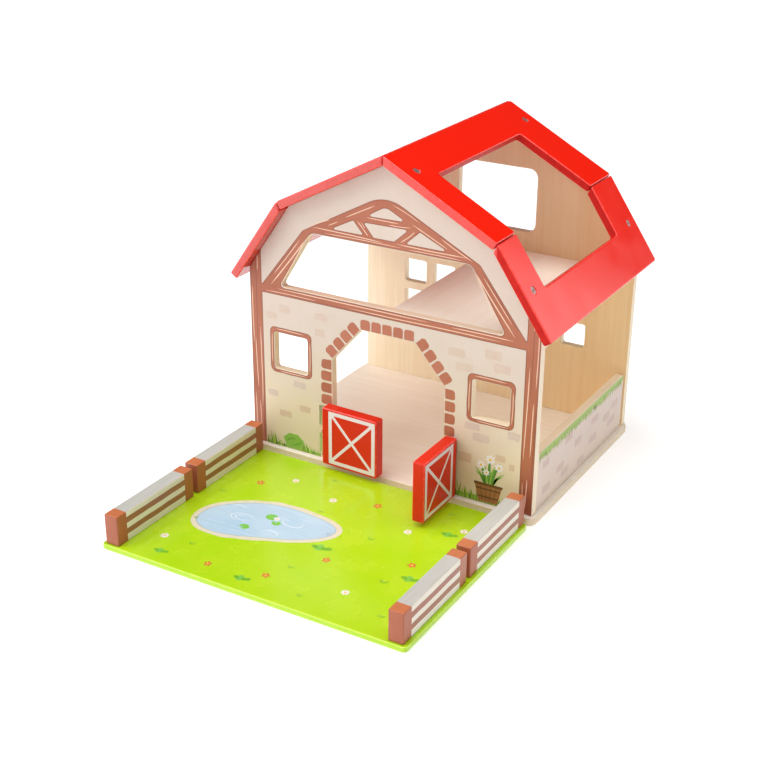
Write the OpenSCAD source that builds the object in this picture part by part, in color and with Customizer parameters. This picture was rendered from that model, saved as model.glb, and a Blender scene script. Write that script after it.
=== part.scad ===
// Wooden toy barn with two hinged doors, a gambrel roof with a roof hatch,
// a half loft and a fenced yard board that stands in front of it.
// Frame: origin at the middle of the base board's underside, +X to the right
// of the front wall, +Y towards the rear wall, +Z up. All sizes in millimetres.

/* [Boards] */
// Thickness of the wall, floor and base boards
board_t = 8; // [6:0.5:10]
// Thickness of the roof boards
roof_t = 8; // [6:0.5:9]
// Thickness of the two door blocks
door_t = 12; // [10:0.5:14]
// Thickness of the yard board
yard_t = 5; // [4:0.5:6]

/* [Barn] */
// Width of the front and rear walls
barn_w = 300; // [290:1:310]
// Depth over the front and rear walls
barn_d = 223.5; // [215:0.5:235]
// How far the base stands out past the front wall
lip_front = 5; // [4:0.5:6]
// How far the base stands out past the rear wall
lip_rear = 2.5; // [1:0.5:6]
// How far the base stands out past the walls at each side
lip_side = 3.5; // [2:0.5:6]
// Corner radius of the base board
base_r = 8; // [4:1:12]
// Height of the half wall above the base
half_wall_h = 58.5; // [50:0.5:62]
// Top of the loft floor above the base
loft_h = 166; // [160:1:168]

/* [Roof] */
// Height of the ridge above the base
ridge_h = 309.7; // [306:0.1:314]
// Half width of the roof at the knee
knee_x = 110.1; // [108:0.1:112]
// Height of the knee above the base
knee_h = 251.75; // [249:0.25:254]
// Half width of the roof at the eaves
eave_x = 163.7; // [160:0.1:168]
// Height of the eaves above the base
eave_h = 174; // [170:0.5:178]
// Overhang of the roof past the front wall
hang_front = 12.5; // [8:0.5:16]
// Overhang of the roof past the rear wall
hang_rear = 11.5; // [8:0.5:16]
// Frame left between the ridge and the roof hatch, along the slope
hatch_ridge = 40; // [36:1:46]
// Length of the hatch on the lower slope, from the knee
hatch_low = 52.5; // [46:0.5:56]
// Start of the hatch behind the front wall's face
hatch_y0 = 23; // [20:1:30]
// End of the hatch behind the front wall's face
hatch_y1 = 186.5; // [176:0.5:192]
// Radius of the hatch's inner corners
hatch_r = 3; // [1:0.5:6]

/* [Front wall openings] */
// Half width of the doorway
door_open_x = 59; // [57:0.5:60]
// Height of the straight part of the doorway
door_open_h = 105.5; // [100:0.5:110]
// Height of the doorway's flat top
door_top_h = 141.4; // [136:0.2:146]
// Half width of the doorway's flat top
door_top_x = 27.8; // [24:0.2:32]
// Middle of each front window, from the middle of the wall
win_x = 105; // [103:0.5:107]
// Height of the middle of the front windows above the base
win_h = 101.2; // [98:0.2:106]
// Size of the square front windows
win_s = 37; // [32:0.5:40]
// Half width of the loft opening at its foot
loft_x0 = 116; // [110:0.5:117]
// Half width of the loft opening at its top
loft_x1 = 81; // [76:0.5:84]
// Top of the loft opening above the base
loft_top_h = 223.8; // [218:0.2:228]

/* [Rear wall openings] */
// Width of the rear loft window
rear_win_w = 86; // [76:1:96]
// Foot of the rear loft window above the base
rear_win_z0 = 185.5; // [182:0.5:190]
// Top of the rear loft window above the base
rear_win_z1 = 249.8; // [240:0.2:256]
// Size of each pane of the two four-pane windows
pane_s = 25; // [22:0.5:27]
// Distance between the middles of neighbouring panes
pane_pitch = 33.5; // [32:0.5:36]
// Middle of each four-pane window, from the middle of the wall
pane_x = 74; // [70:0.5:80]
// Height of the middle of the four-pane windows above the base
pane_h = 104.25; // [100:0.25:110]

/* [Doors] */
// Length of each door
door_l = 60.7; // [59:0.1:61]
// Height of each door
door_h = 59; // [54:0.5:62]
// Gap between the base and the underside of the doors
door_gap = 2; // [1.5:0.1:4]
// Distance of each hinge axis from the middle of the doorway
axis_x = 64.5; // [64.4:0.1:65.5]
// Angle at which the left door stands open
left_open = 2; // [0:1:90]
// Angle at which the right door stands open
right_open = 90; // [0:1:95]

/* [Yard] */
// Width of the yard board
yard_w = 301; // [296:1:306]
// Depth of the yard board
yard_d = 219; // [210:1:230]
// Gap between the yard board and the base
yard_gap = 4; // [0.5:0.5:10]
// Length of each fence block
fence_l = 105; // [100:1:106]
// Thickness of the fence blocks
fence_w = 14; // [12:0.5:16]
// Height of the fence blocks
fence_h = 28.5; // [26:0.5:34]
// Distance of the fences from the yard board's side edges
fence_in = 3.5; // [3:0.5:8]

/* [Hidden] */

// clearance of a screw or dowel in its own hole
fit = 0.03;
// gap left between the walls' upper edges and the roof boards
seat = 0.1;

base_w = barn_w + 2 * lip_side;
base_d = lip_front + barn_d + lip_rear;
base_y0 = -base_d / 2;
yf = base_y0 + lip_front;            // front face of the front wall
yr = yf + barn_d;                    // rear face of the rear wall
bt = board_t;                        // top of the base board

a1 = atan((ridge_h - knee_h) / knee_x);             // upper slope
a2 = atan((knee_h - eave_h) / (eave_x - knee_x));   // lower slope
l1 = knee_x / cos(a1);                              // length of the upper slope
l2 = (eave_x - knee_x) / cos(a2);                   // length of the lower slope
roof_y0 = yf - hang_front;
roof_y1 = yr + hang_rear;
roof_l = roof_y1 - roof_y0;
ridge_g = 0.4;                       // half the slit at the ridge
knee_g = 0.9;                        // slit between upper and lower boards

// screws through the roof boards: distances along the slopes
s_up = 28.3;
s_low = 49.3;
roof_sink = 0.8;                     // how deep the roof screws' heads lie
y_front_edge = yf + board_t / 2;
y_rear_edge = yr - board_t / 2;

// underside of the roof as height at a distance from the middle
function under1(x, t) = bt + ridge_h - t / cos(a1) - x * tan(a1);
function under2(x, t) = bt + knee_h - tan(a2) * (x - knee_x) - t / cos(a2);
function knee_in(t) = let(x = (bt + knee_h + tan(a2) * knee_x - t / cos(a2)
        - (bt + ridge_h - t / cos(a1))) / (tan(a2) - tan(a1))) [x, under1(x, t)];

// arc that rounds the corner p1 between p0 and p2
function unit(v) = v / norm(v);
function arc_pts(p0, p1, p2, r, n = 6) =
    let(u = unit(p0 - p1), v = unit(p2 - p1),
        half = acos(u * v) / 2,
        c = p1 + unit(u + v) * r / sin(half),
        q0 = p1 + u * r / tan(half), q2 = p1 + v * r / tan(half),
        b0 = atan2((q0 - c)[1], (q0 - c)[0]),
        db = atan2((q2 - c)[1], (q2 - c)[0]) - b0,
        d = db > 180 ? db - 360 : (db < -180 ? db + 360 : db))
    [for (i = [0:n]) c + r * [cos(b0 + d * i / n), sin(b0 + d * i / n)]];

function wall_outline() = let(w = barn_w / 2, t = roof_t + seat, k = knee_in(t))
    [[-w, bt], [-w, under2(w, t)], [-k[0], k[1]], [0, under1(0, t)],
     [k[0], k[1]], [w, under2(w, t)], [w, bt]];

function loft_outline() = let(
        a = [-loft_x0, bt + loft_h + 0.5], b = [-loft_x1, bt + loft_top_h],
        c = [loft_x1, bt + loft_top_h], d = [loft_x0, bt + loft_h + 0.5])
    concat(arc_pts(d, a, b, 3, 3), arc_pts(a, b, c, 9), arc_pts(b, c, d, 9),
           arc_pts(c, d, a, 3, 3));

// rectangle with round corners, centred
module round_rect(w, h, r) {
    square([w - 2 * r, h], center = true);
    square([w, h - 2 * r], center = true);
    for (x = [-1, 1], y = [-1, 1])
        translate([x * (w / 2 - r), y * (h / 2 - r)]) circle(r = r, $fn = 32);
}

// upright board with its outline in X and Z, from y to y + t
module upright(y, t) {
    translate([0, y + t, 0]) rotate([90, 0, 0]) linear_extrude(t) children();
}

// countersunk screw, head up at the origin, pointing down
module screw(l, r, hr, hh) {
    difference() {
        union() {
            translate([0, 0, -hh]) cylinder(h = hh, r1 = r, r2 = hr, $fn = 32);
            translate([0, 0, -(l - 2 * r)]) cylinder(h = l - 2 * r - hh, r = r, $fn = 32);
            translate([0, 0, -l]) cylinder(h = 2 * r, r1 = 0.25 * r, r2 = r, $fn = 32);
        }
        // cross recess
        for (q = [0, 90]) rotate([0, 0, q])
            translate([0, 0, -hh * 0.3])
                cube([1.15 * hr, 0.26 * hr, hh * 0.6 + 0.2], center = true);
    }
}

// hole and countersink for a screw through a board, from the face at z = 0
module screw_hole(l, r, hr, hh) {
    translate([0, 0, -l]) cylinder(h = l + 1, r = r, $fn = 32);
    translate([0, 0, -hh - 0.05]) cylinder(h = hh + 0.06, r1 = r, r2 = hr + 0.08, $fn = 32);
    translate([0, 0, -0.001]) cylinder(h = 1, r = hr + 0.08, $fn = 32);
}

/* ---- roof ---- */

// places children on the upper or lower slope, X down the slope, Z outwards
module on_upper() { translate([0, 0, bt + ridge_h]) rotate([0, a1, 0]) children(); }
module on_lower() { translate([knee_x, 0, bt + knee_h]) rotate([0, a2, 0]) children(); }

module at_roof_screws_upper() {
    for (y = [y_front_edge, y_rear_edge]) on_upper() translate([s_up, y, 0]) children();
}
module at_roof_screws_lower() {
    for (y = [y_front_edge, y_rear_edge]) on_lower() translate([s_low, y, 0]) children();
}

module sunk() { translate([0, 0, -roof_sink]) children(); }

module upper_blank() {
    n = [-sin(a1), -cos(a1)];
    k = [knee_x, bt + knee_h];
    upright(roof_y0, roof_l) polygon([
        [ridge_g, bt + ridge_h - ridge_g * tan(a1)],
        k, k + roof_t * n,
        [ridge_g, bt + ridge_h - roof_t / cos(a1) - ridge_g * tan(a1)]]);
}
module lower_blank() {
    d2 = [cos(a2), -sin(a2)];
    n2 = [-sin(a2), -cos(a2)];
    k = [knee_x, bt + knee_h];
    s0 = knee_g / cos(a2 - a1);
    s1 = (knee_g + roof_t * sin(a2 - a1)) / cos(a2 - a1);
    upright(roof_y0, roof_l) polygon([
        k + s0 * d2, k + l2 * d2, k + l2 * d2 + roof_t * n2, k + s1 * d2 + roof_t * n2]);
}

// the cut for the roof hatch in a slope's own frame, from s0 to s1 down the slope
module hatch_cut(s0, s1) {
    translate([(s0 + s1) / 2, yf + (hatch_y0 + hatch_y1) / 2, -20])
        linear_extrude(40) round_rect(s1 - s0, hatch_y1 - hatch_y0, hatch_r);
}

module roof_left_upper() {
    color("#d8231c") mirror([1, 0, 0]) difference() {
        upper_blank();
        at_roof_screws_upper() sunk() screw_hole(roof_t + 2, 1.75 + fit, 3.5, 2);
    }
}
module roof_left_lower() {
    color("#d8231c") mirror([1, 0, 0]) difference() {
        lower_blank();
        at_roof_screws_lower() sunk() screw_hole(roof_t + 2, 1.75 + fit, 3.5, 2);
    }
}
module roof_right_upper() {
    color("#d8231c") difference() {
        upper_blank();
        on_upper() hatch_cut(hatch_ridge, l1 + 20);
        at_roof_screws_upper() sunk() screw_hole(roof_t + 2, 1.75 + fit, 3.5, 2);
    }
}
module roof_right_lower() {
    color("#d8231c") difference() {
        lower_blank();
        on_lower() hatch_cut(-20, hatch_low);
        at_roof_screws_lower() sunk() screw_hole(roof_t + 2, 1.75 + fit, 3.5, 2);
    }
}
module roof_screws() {
    color("silver") for (m = [0, 1]) mirror([m, 0, 0]) {
        at_roof_screws_upper() sunk() screw(25, 1.75, 3.5, 2);
        at_roof_screws_lower() sunk() screw(25, 1.75, 3.5, 2);
    }
}
// bores for the roof screws in the walls' upper edges
module roof_screw_bores() {
    for (m = [0, 1]) mirror([m, 0, 0]) {
        at_roof_screws_upper() translate([0, 0, -26]) cylinder(h = 26, r = 1.75 + fit, $fn = 32);
        at_roof_screws_lower() translate([0, 0, -26]) cylinder(h = 26, r = 1.75 + fit, $fn = 32);
    }
}

/* ---- base, walls and loft ---- */

half_wall_x = barn_w / 2 - 1 - board_t / 2;
half_wall_y0 = yf + board_t + 2.5;
half_wall_y1 = yr - board_t - 2.5;

module at_base_screws() {
    for (x = [-104, 104], y = [y_front_edge, y_rear_edge]) translate([x, y, 0]) children();
    for (y = [half_wall_y0 + 40, half_wall_y1 - 40]) translate([half_wall_x, y, 0]) children();
}

module base_board() {
    color("#e3c9a4") difference() {
        linear_extrude(board_t) round_rect(base_w, base_d, base_r);
        at_base_screws() rotate([180, 0, 0]) screw_hole(board_t + 2, 1.75 + fit, 3.5, 2);
    }
}
module base_screws() {
    color("silver") at_base_screws() rotate([180, 0, 0]) screw(25, 1.75, 3.5, 2);
}
module base_screw_bores() {
    at_base_screws() translate([0, 0, -0.5]) cylinder(h = 26.5, r = 1.75 + fit, $fn = 32);
}

// dowels that carry the loft floor between the walls
dowel_r = 2;
dowel_l = 15;
module at_loft_dowels() {
    for (x = [32, 116]) {
        translate([x, yf + board_t - 5, bt + loft_h - board_t / 2]) rotate([-90, 0, 0]) children();
        translate([x, yr - board_t + 5, bt + loft_h - board_t / 2]) rotate([90, 0, 0]) children();
    }
}
module loft_dowels() {
    color("#e8d3ab") at_loft_dowels() cylinder(h = dowel_l, r = dowel_r, $fn = 32);
}
module loft_dowel_bores() {
    at_loft_dowels() translate([0, 0, -fit]) cylinder(h = dowel_l + 0.5, r = dowel_r + fit, $fn = 32);
}

module front_wall() {
    color("#ecdfc9") difference() {
        upright(yf, board_t) difference() {
            polygon(wall_outline());
            polygon([[-door_open_x, bt - 1], [-door_open_x, bt + door_open_h],
                [-door_top_x, bt + door_top_h], [door_top_x, bt + door_top_h],
                [door_open_x, bt + door_open_h], [door_open_x, bt - 1]]);
            polygon(loft_outline());
            for (x = [-win_x, win_x]) translate([x, bt + win_h]) round_rect(win_s, win_s, 2.5);
        }
        roof_screw_bores();
        base_screw_bores();
        loft_dowel_bores();
        at_wall_leaf_screws() translate([0, 0, -7.4]) cylinder(h = 8, r = 0.9 + fit, $fn = 24);
    }
}

module rear_wall() {
    color("#e6cfa9") difference() {
        upright(yr - board_t, board_t) difference() {
            polygon(wall_outline());
            translate([0, bt + (rear_win_z0 + rear_win_z1) / 2])
                round_rect(rear_win_w, rear_win_z1 - rear_win_z0, 9);
            for (sx = [-pane_x, pane_x], dx = [-0.5, 0.5], dz = [-0.5, 0.5])
                translate([sx + dx * pane_pitch, bt + pane_h + dz * pane_pitch])
                    round_rect(pane_s, pane_s, 2.5);
        }
        roof_screw_bores();
        base_screw_bores();
        loft_dowel_bores();
    }
}

module right_half_wall() {
    l = half_wall_y1 - half_wall_y0;
    color("#e0cdb0") difference() {
        translate([half_wall_x - board_t / 2, (half_wall_y0 + half_wall_y1) / 2, bt])
            rotate([90, 0, 90]) linear_extrude(board_t) union() {
                translate([0, half_wall_h / 2]) round_rect(l, half_wall_h, 5);
                translate([-l / 2, 0]) square([l, half_wall_h / 2]);
            }
        base_screw_bores();
    }
}

module loft_floor() {
    y0 = yf + board_t + 0.1;
    y1 = yr - board_t - 0.1;
    color("#e9d3ae") difference() {
        translate([0.5, y0, bt + loft_h - board_t]) cube([barn_w / 2 - 2.5, y1 - y0, board_t]);
        loft_dowel_bores();
    }
}

/* ---- doors and their hinges ---- */

door_z0 = bt + door_gap;
hinge_h = 20;                        // height of a hinge
leaf_t = 0.8;                        // thickness of a hinge leaf
leaf_w = 9;                          // reach of a leaf from the axis
knuckle_r = 1.7;                     // radius of the knuckle
axis_off = 2;                        // distance of the axis from the wall's face
pin_r = 0.85;                        // radius of the hinge pin
pin_gap = 0.05;                      // clearance of the pin in the knuckles
hinge_z = [door_z0 + 5, door_z0 + door_h - 5 - hinge_h];   // feet of the two hinges
leaf_screw_z = [4.2, hinge_h - 4.2];
leaf_screw_s = 6.1;                  // screws' distance from the axis

// the right hinge axis, with the closed door lying towards -X
module at_axis() { translate([axis_x, yf - axis_off, 0]) children(); }

// one knuckle segment
module knuckle(z0, z1) {
    translate([0, 0, z0]) cylinder(h = z1 - z0, r = knuckle_r, $fn = 32);
}

// wall leaf about the axis: it lies on the wall's face, towards +X
module wall_leaf(z) {
    translate([0, 0, z]) difference() {
        union() {
            translate([axis_off + 0.1, axis_off - leaf_t, 0]) cube([leaf_w - axis_off - 0.1, leaf_t, hinge_h]);
            for (s = [[0, 6.6], [hinge_h - 6.6, hinge_h]]) {
                translate([0, axis_off - leaf_t, s[0]]) cube([axis_off + 0.2, leaf_t, s[1] - s[0]]);
                knuckle(s[0], s[1]);
            }
        }
        translate([0, 0, -1]) cylinder(h = hinge_h + 2, r = pin_r + pin_gap, $fn = 32);
        for (h = leaf_screw_z) translate([leaf_screw_s, axis_off - leaf_t, h])
            rotate([90, 0, 0]) screw_hole(3, 0.9 + fit, 1.7, 0.75);
    }
}

// door leaf about the axis: it lies on the closed door's end, towards -Y
module door_leaf(z) {
    translate([0, 0, z]) difference() {
        union() {
            translate([-axis_off, -leaf_w, 0]) cube([leaf_t, leaf_w - axis_off - 0.1, hinge_h]);
            translate([-axis_off, -axis_off - 0.2, 6.9]) cube([leaf_t, axis_off + 0.2, hinge_h - 13.8]);
            knuckle(6.9, hinge_h - 6.9);
        }
        translate([0, 0, -1]) cylinder(h = hinge_h + 2, r = pin_r + pin_gap, $fn = 32);
        for (h = leaf_screw_z) translate([-axis_off + leaf_t, -leaf_screw_s, h])
            rotate([0, 90, 0]) screw_hole(3, 0.9 + fit, 1.7, 0.75);
    }
}

module pin(z) {
    translate([0, 0, z - 0.6]) cylinder(h = 0.5, r = 1.25, $fn = 32);
    translate([0, 0, z - 0.2]) cylinder(h = hinge_h + 0.4, r = pin_r, $fn = 32);
    translate([0, 0, z + hinge_h + 0.1]) cylinder(h = 0.5, r = 1.25, $fn = 32);
}

// screws' places in the wall's face on both sides, pointing into the wall
module at_wall_leaf_screws() {
    for (m = [0, 1], z = hinge_z, h = leaf_screw_z) mirror([m, 0, 0]) at_axis()
        translate([leaf_screw_s, axis_off - leaf_t, z + h]) rotate([90, 0, 0]) children();
}
// screws' places in the end of the closed right door
module at_door_leaf_screws() {
    for (z = hinge_z, h = leaf_screw_z)
        translate([-axis_off + leaf_t, -leaf_screw_s, z + h]) rotate([0, 90, 0]) children();
}

// closed right door about its axis, lying towards -X in front of the wall
module door_block() {
    color("#d9281c") difference() {
        translate([-axis_off - door_l / 2, axis_off - 1 - door_t / 2, door_z0])
            linear_extrude(door_h) round_rect(door_l, door_t, 1.5);
        at_door_leaf_screws() translate([0, 0, -9.4]) cylinder(h = 10, r = 0.9 + fit, $fn = 24);
    }
}

module right_swing() { at_axis() rotate([0, 0, right_open]) children(); }
module left_swing() { mirror([1, 0, 0]) at_axis() rotate([0, 0, left_open]) children(); }

module door_right() { right_swing() door_block(); }
module door_left() { left_swing() door_block(); }

module hinge_right_low_wall_leaf() { color("#c9c4b8") at_axis() wall_leaf(hinge_z[0]); }
module hinge_right_top_wall_leaf() { color("#c9c4b8") at_axis() wall_leaf(hinge_z[1]); }
module hinge_left_low_wall_leaf() { color("#c9c4b8") mirror([1, 0, 0]) at_axis() wall_leaf(hinge_z[0]); }
module hinge_left_top_wall_leaf() { color("#c9c4b8") mirror([1, 0, 0]) at_axis() wall_leaf(hinge_z[1]); }
module hinge_right_low_door_leaf() { color("#c9c4b8") right_swing() door_leaf(hinge_z[0]); }
module hinge_right_top_door_leaf() { color("#c9c4b8") right_swing() door_leaf(hinge_z[1]); }
module hinge_left_low_door_leaf() { color("#c9c4b8") left_swing() door_leaf(hinge_z[0]); }
module hinge_left_top_door_leaf() { color("#c9c4b8") left_swing() door_leaf(hinge_z[1]); }

module hinge_pins() {
    color("#b9b4a8") for (m = [0, 1], z = hinge_z) mirror([m, 0, 0]) at_axis() pin(z);
}
module hinge_wall_screws() { color("silver") at_wall_leaf_screws() screw(7, 0.9, 1.65, 0.7); }
module door_right_screws() { color("silver") right_swing() at_door_leaf_screws() screw(9, 0.9, 1.65, 0.7); }
module door_left_screws() { color("silver") left_swing() at_door_leaf_screws() screw(9, 0.9, 1.65, 0.7); }

/* ---- yard board and fences ---- */

yard_y1 = base_y0 - yard_gap;
yard_y0 = yard_y1 - yard_d;
fence_x = yard_w / 2 - fence_in - fence_w / 2;
fence_front_y = yard_y0 + 2.5 + fence_l / 2;
fence_rear_y = yard_y1 - 0.5 - fence_l / 2;

module at_fence_screws() {
    for (x = [-fence_x, fence_x], y = [fence_front_y, fence_rear_y], d = [-34, 34])
        translate([x, y + d, 0]) children();
}
module yard_board() {
    color("#a4d321") difference() {
        translate([0, (yard_y0 + yard_y1) / 2, 0]) linear_extrude(yard_t) round_rect(yard_w, yard_d, 4);
        at_fence_screws() rotate([180, 0, 0]) screw_hole(yard_t + 2, 1.5 + fit, 2.9, 1.7);
    }
}
module fence_block(x, y) {
    color("#dcd9d2") difference() {
        translate([x - fence_w / 2, y - fence_l / 2, yard_t]) cube([fence_w, fence_l, fence_h]);
        at_fence_screws() translate([0, 0, yard_t - 1]) cylinder(h = 16.5 - yard_t + 1, r = 1.5 + fit, $fn = 32);
    }
}
module fence_left_front() { fence_block(-fence_x, fence_front_y); }
module fence_left_rear() { fence_block(-fence_x, fence_rear_y); }
module fence_right_front() { fence_block(fence_x, fence_front_y); }
module fence_right_rear() { fence_block(fence_x, fence_rear_y); }
module fence_screws() {
    color("silver") at_fence_screws() rotate([180, 0, 0]) screw(16, 1.5, 2.85, 1.7);
}

base_board();
front_wall();
rear_wall();
right_half_wall();
loft_floor();
roof_left_lower();
roof_left_upper();
roof_right_upper();
roof_right_lower();
roof_screws();
base_screws();
loft_dowels();
door_left();
door_right();
hinge_left_top_wall_leaf();
hinge_left_low_wall_leaf();
hinge_right_top_wall_leaf();
hinge_right_low_wall_leaf();
hinge_left_top_door_leaf();
hinge_left_low_door_leaf();
hinge_right_top_door_leaf();
hinge_right_low_door_leaf();
hinge_pins();
hinge_wall_screws();
door_left_screws();
door_right_screws();
yard_board();
fence_left_front();
fence_left_rear();
fence_right_front();
fence_right_rear();
fence_screws();
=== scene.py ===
import math
import random

import bpy
from mathutils import Matrix, Vector
from mathutils.geometry import tessellate_polygon


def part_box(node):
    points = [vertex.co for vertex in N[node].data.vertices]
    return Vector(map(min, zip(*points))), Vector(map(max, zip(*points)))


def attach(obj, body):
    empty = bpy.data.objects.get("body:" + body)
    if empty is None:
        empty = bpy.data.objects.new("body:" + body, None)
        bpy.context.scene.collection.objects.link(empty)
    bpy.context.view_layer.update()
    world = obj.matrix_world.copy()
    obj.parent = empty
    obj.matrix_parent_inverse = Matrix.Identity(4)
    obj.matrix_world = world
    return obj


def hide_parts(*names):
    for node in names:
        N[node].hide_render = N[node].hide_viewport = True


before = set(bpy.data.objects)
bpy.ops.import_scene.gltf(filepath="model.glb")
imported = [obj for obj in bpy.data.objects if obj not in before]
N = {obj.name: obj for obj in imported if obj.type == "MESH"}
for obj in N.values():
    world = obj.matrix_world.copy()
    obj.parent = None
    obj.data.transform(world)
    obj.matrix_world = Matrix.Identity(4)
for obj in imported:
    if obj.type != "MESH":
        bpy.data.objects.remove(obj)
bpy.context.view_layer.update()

MM = 0.001

# ---------------------------------------------------------------- colours

def lin(c):
    c = c / 255.0
    return c / 12.92 if c <= 0.04045 else ((c + 0.055) / 1.055) ** 2.4


def rgb(r, g, b):
    return (lin(r), lin(g), lin(b), 1.0)


# ---------------------------------------------------------------- node trees

class Tree:
    """a material's node tree with short helpers"""

    def __init__(self, name):
        self.mat = bpy.data.materials.new(name)
        self.mat.use_nodes = True
        self.nt = self.mat.node_tree
        self.nt.nodes.clear()
        self.out = self.nt.nodes.new("ShaderNodeOutputMaterial")
        self.sh = self.nt.nodes.new("ShaderNodeBsdfPrincipled")
        self.link(self.sh.outputs[0], self.out.inputs[0])
        self.tc = self.nt.nodes.new("ShaderNodeTexCoord")

    def link(self, a, b):
        self.nt.links.new(a, b)

    def put(self, value, socket):
        if hasattr(value, "is_output"):
            self.link(value, socket)
        else:
            socket.default_value = value

    @property
    def P(self):
        return self.tc.outputs["Object"]

    @property
    def Nrm(self):
        return self.tc.outputs["Normal"]

    def xyz(self, v):
        n = self.nt.nodes.new("ShaderNodeSeparateXYZ")
        self.link(v, n.inputs[0])
        return n.outputs

    def scaled(self, v, s, off=(0, 0, 0), rot=(0, 0, 0)):
        n = self.nt.nodes.new("ShaderNodeMapping")
        n.inputs["Scale"].default_value = s
        n.inputs["Location"].default_value = off
        n.inputs["Rotation"].default_value = rot
        self.link(v, n.inputs["Vector"])
        return n.outputs[0]

    def noise(self, v, scale=1.0, detail=3.0, rough=0.5, dist=0.0):
        n = self.nt.nodes.new("ShaderNodeTexNoise")
        n.inputs["Scale"].default_value = scale
        n.inputs["Detail"].default_value = detail
        n.inputs["Roughness"].default_value = rough
        n.inputs["Distortion"].default_value = dist
        self.link(v, n.inputs["Vector"])
        return n.outputs["Fac"]

    def wave(self, v, scale, dist, detail=2.0, dscale=1.0, direction="X"):
        n = self.nt.nodes.new("ShaderNodeTexWave")
        n.wave_type = "BANDS"
        n.bands_direction = direction
        n.inputs["Scale"].default_value = scale
        n.inputs["Distortion"].default_value = dist
        n.inputs["Detail"].default_value = detail
        n.inputs["Detail Scale"].default_value = dscale
        self.link(v, n.inputs["Vector"])
        return n.outputs["Fac"]

    def math(self, op, a, b=0.0, c=0.0, clamp=False):
        n = self.nt.nodes.new("ShaderNodeMath")
        n.operation = op
        n.use_clamp = clamp
        self.put(a, n.inputs[0])
        self.put(b, n.inputs[1])
        self.put(c, n.inputs[2])
        return n.outputs[0]

    def remap(self, v, a, b, c=0.0, d=1.0, smooth=False):
        n = self.nt.nodes.new("ShaderNodeMapRange")
        n.interpolation_type = "SMOOTHSTEP" if smooth else "LINEAR"
        n.inputs["From Min"].default_value = a
        n.inputs["From Max"].default_value = b
        n.inputs["To Min"].default_value = c
        n.inputs["To Max"].default_value = d
        self.put(v, n.inputs["Value"])
        return n.outputs["Result"]

    def mix(self, fac, a, b, mode="MIX"):
        n = self.nt.nodes.new("ShaderNodeMix")
        n.data_type = "RGBA"
        n.blend_type = mode
        self.put(fac, n.inputs[0])
        self.put(a, n.inputs[6])
        self.put(b, n.inputs[7])
        return n.outputs[2]

    def bump(self, height, dist, strength=1.0, normal=None):
        n = self.nt.nodes.new("ShaderNodeBump")
        n.inputs["Strength"].default_value = strength
        n.inputs["Distance"].default_value = dist
        self.link(height, n.inputs["Height"])
        if normal is not None:
            self.link(normal, n.inputs["Normal"])
        return n.outputs[0]

    def done(self, color, rough, normal=None, metallic=0.0, coat=0.0, coat_rough=0.1, ior=1.5, spec=0.5):
        self.put(color, self.sh.inputs["Base Color"])
        self.put(rough, self.sh.inputs["Roughness"])
        self.sh.inputs["Metallic"].default_value = metallic
        self.sh.inputs["IOR"].default_value = ior
        self.sh.inputs["Specular IOR Level"].default_value = spec
        self.sh.inputs["Coat Weight"].default_value = coat
        self.sh.inputs["Coat Roughness"].default_value = coat_rough
        if normal is not None:
            self.link(normal, self.sh.inputs["Normal"])
        return self.mat


def grain_scales(axis, across, along):
    s = [1.0 / across] * 3
    s["xyz".index(axis)] = 1.0 / along
    return s


def wood_nodes(t, axis, light, dark, off=(0.0, 0.0, 0.0)):
    """colour and height of bare wood with its grain along an axis"""
    slow = t.noise(t.scaled(t.P, grain_scales(axis, 0.030, 0.30), off), 1.0, 2.0, 0.5)
    bands = t.noise(t.scaled(t.P, grain_scales(axis, 0.0048, 0.13), off), 1.0, 3.0, 0.55, 0.35)
    lines = t.noise(t.scaled(t.P, grain_scales(axis, 0.0014, 0.055), off), 1.0, 2.0, 0.6)
    fine = t.noise(t.scaled(t.P, grain_scales(axis, 0.00035, 0.007), off), 1.0, 2.0, 0.5)
    f = t.math("MULTIPLY", t.remap(bands, 0.35, 0.68, 0.0, 1.0, True), 0.34)
    f = t.math("ADD", f, t.math("MULTIPLY", t.remap(lines, 0.42, 0.72), 0.22))
    f = t.math("ADD", f, t.math("MULTIPLY", t.remap(slow, 0.3, 0.7), 0.44))
    col = t.mix(f, light, dark)
    flecks = t.remap(fine, 0.62, 0.78, 0.0, 0.16)
    col = t.mix(flecks, col, t.mix(0.35, dark, (0.25, 0.15, 0.07, 1.0)))
    height = t.math("ADD", t.math("MULTIPLY", lines, 0.6), t.math("MULTIPLY", fine, 0.4))
    return col, height, f


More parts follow.
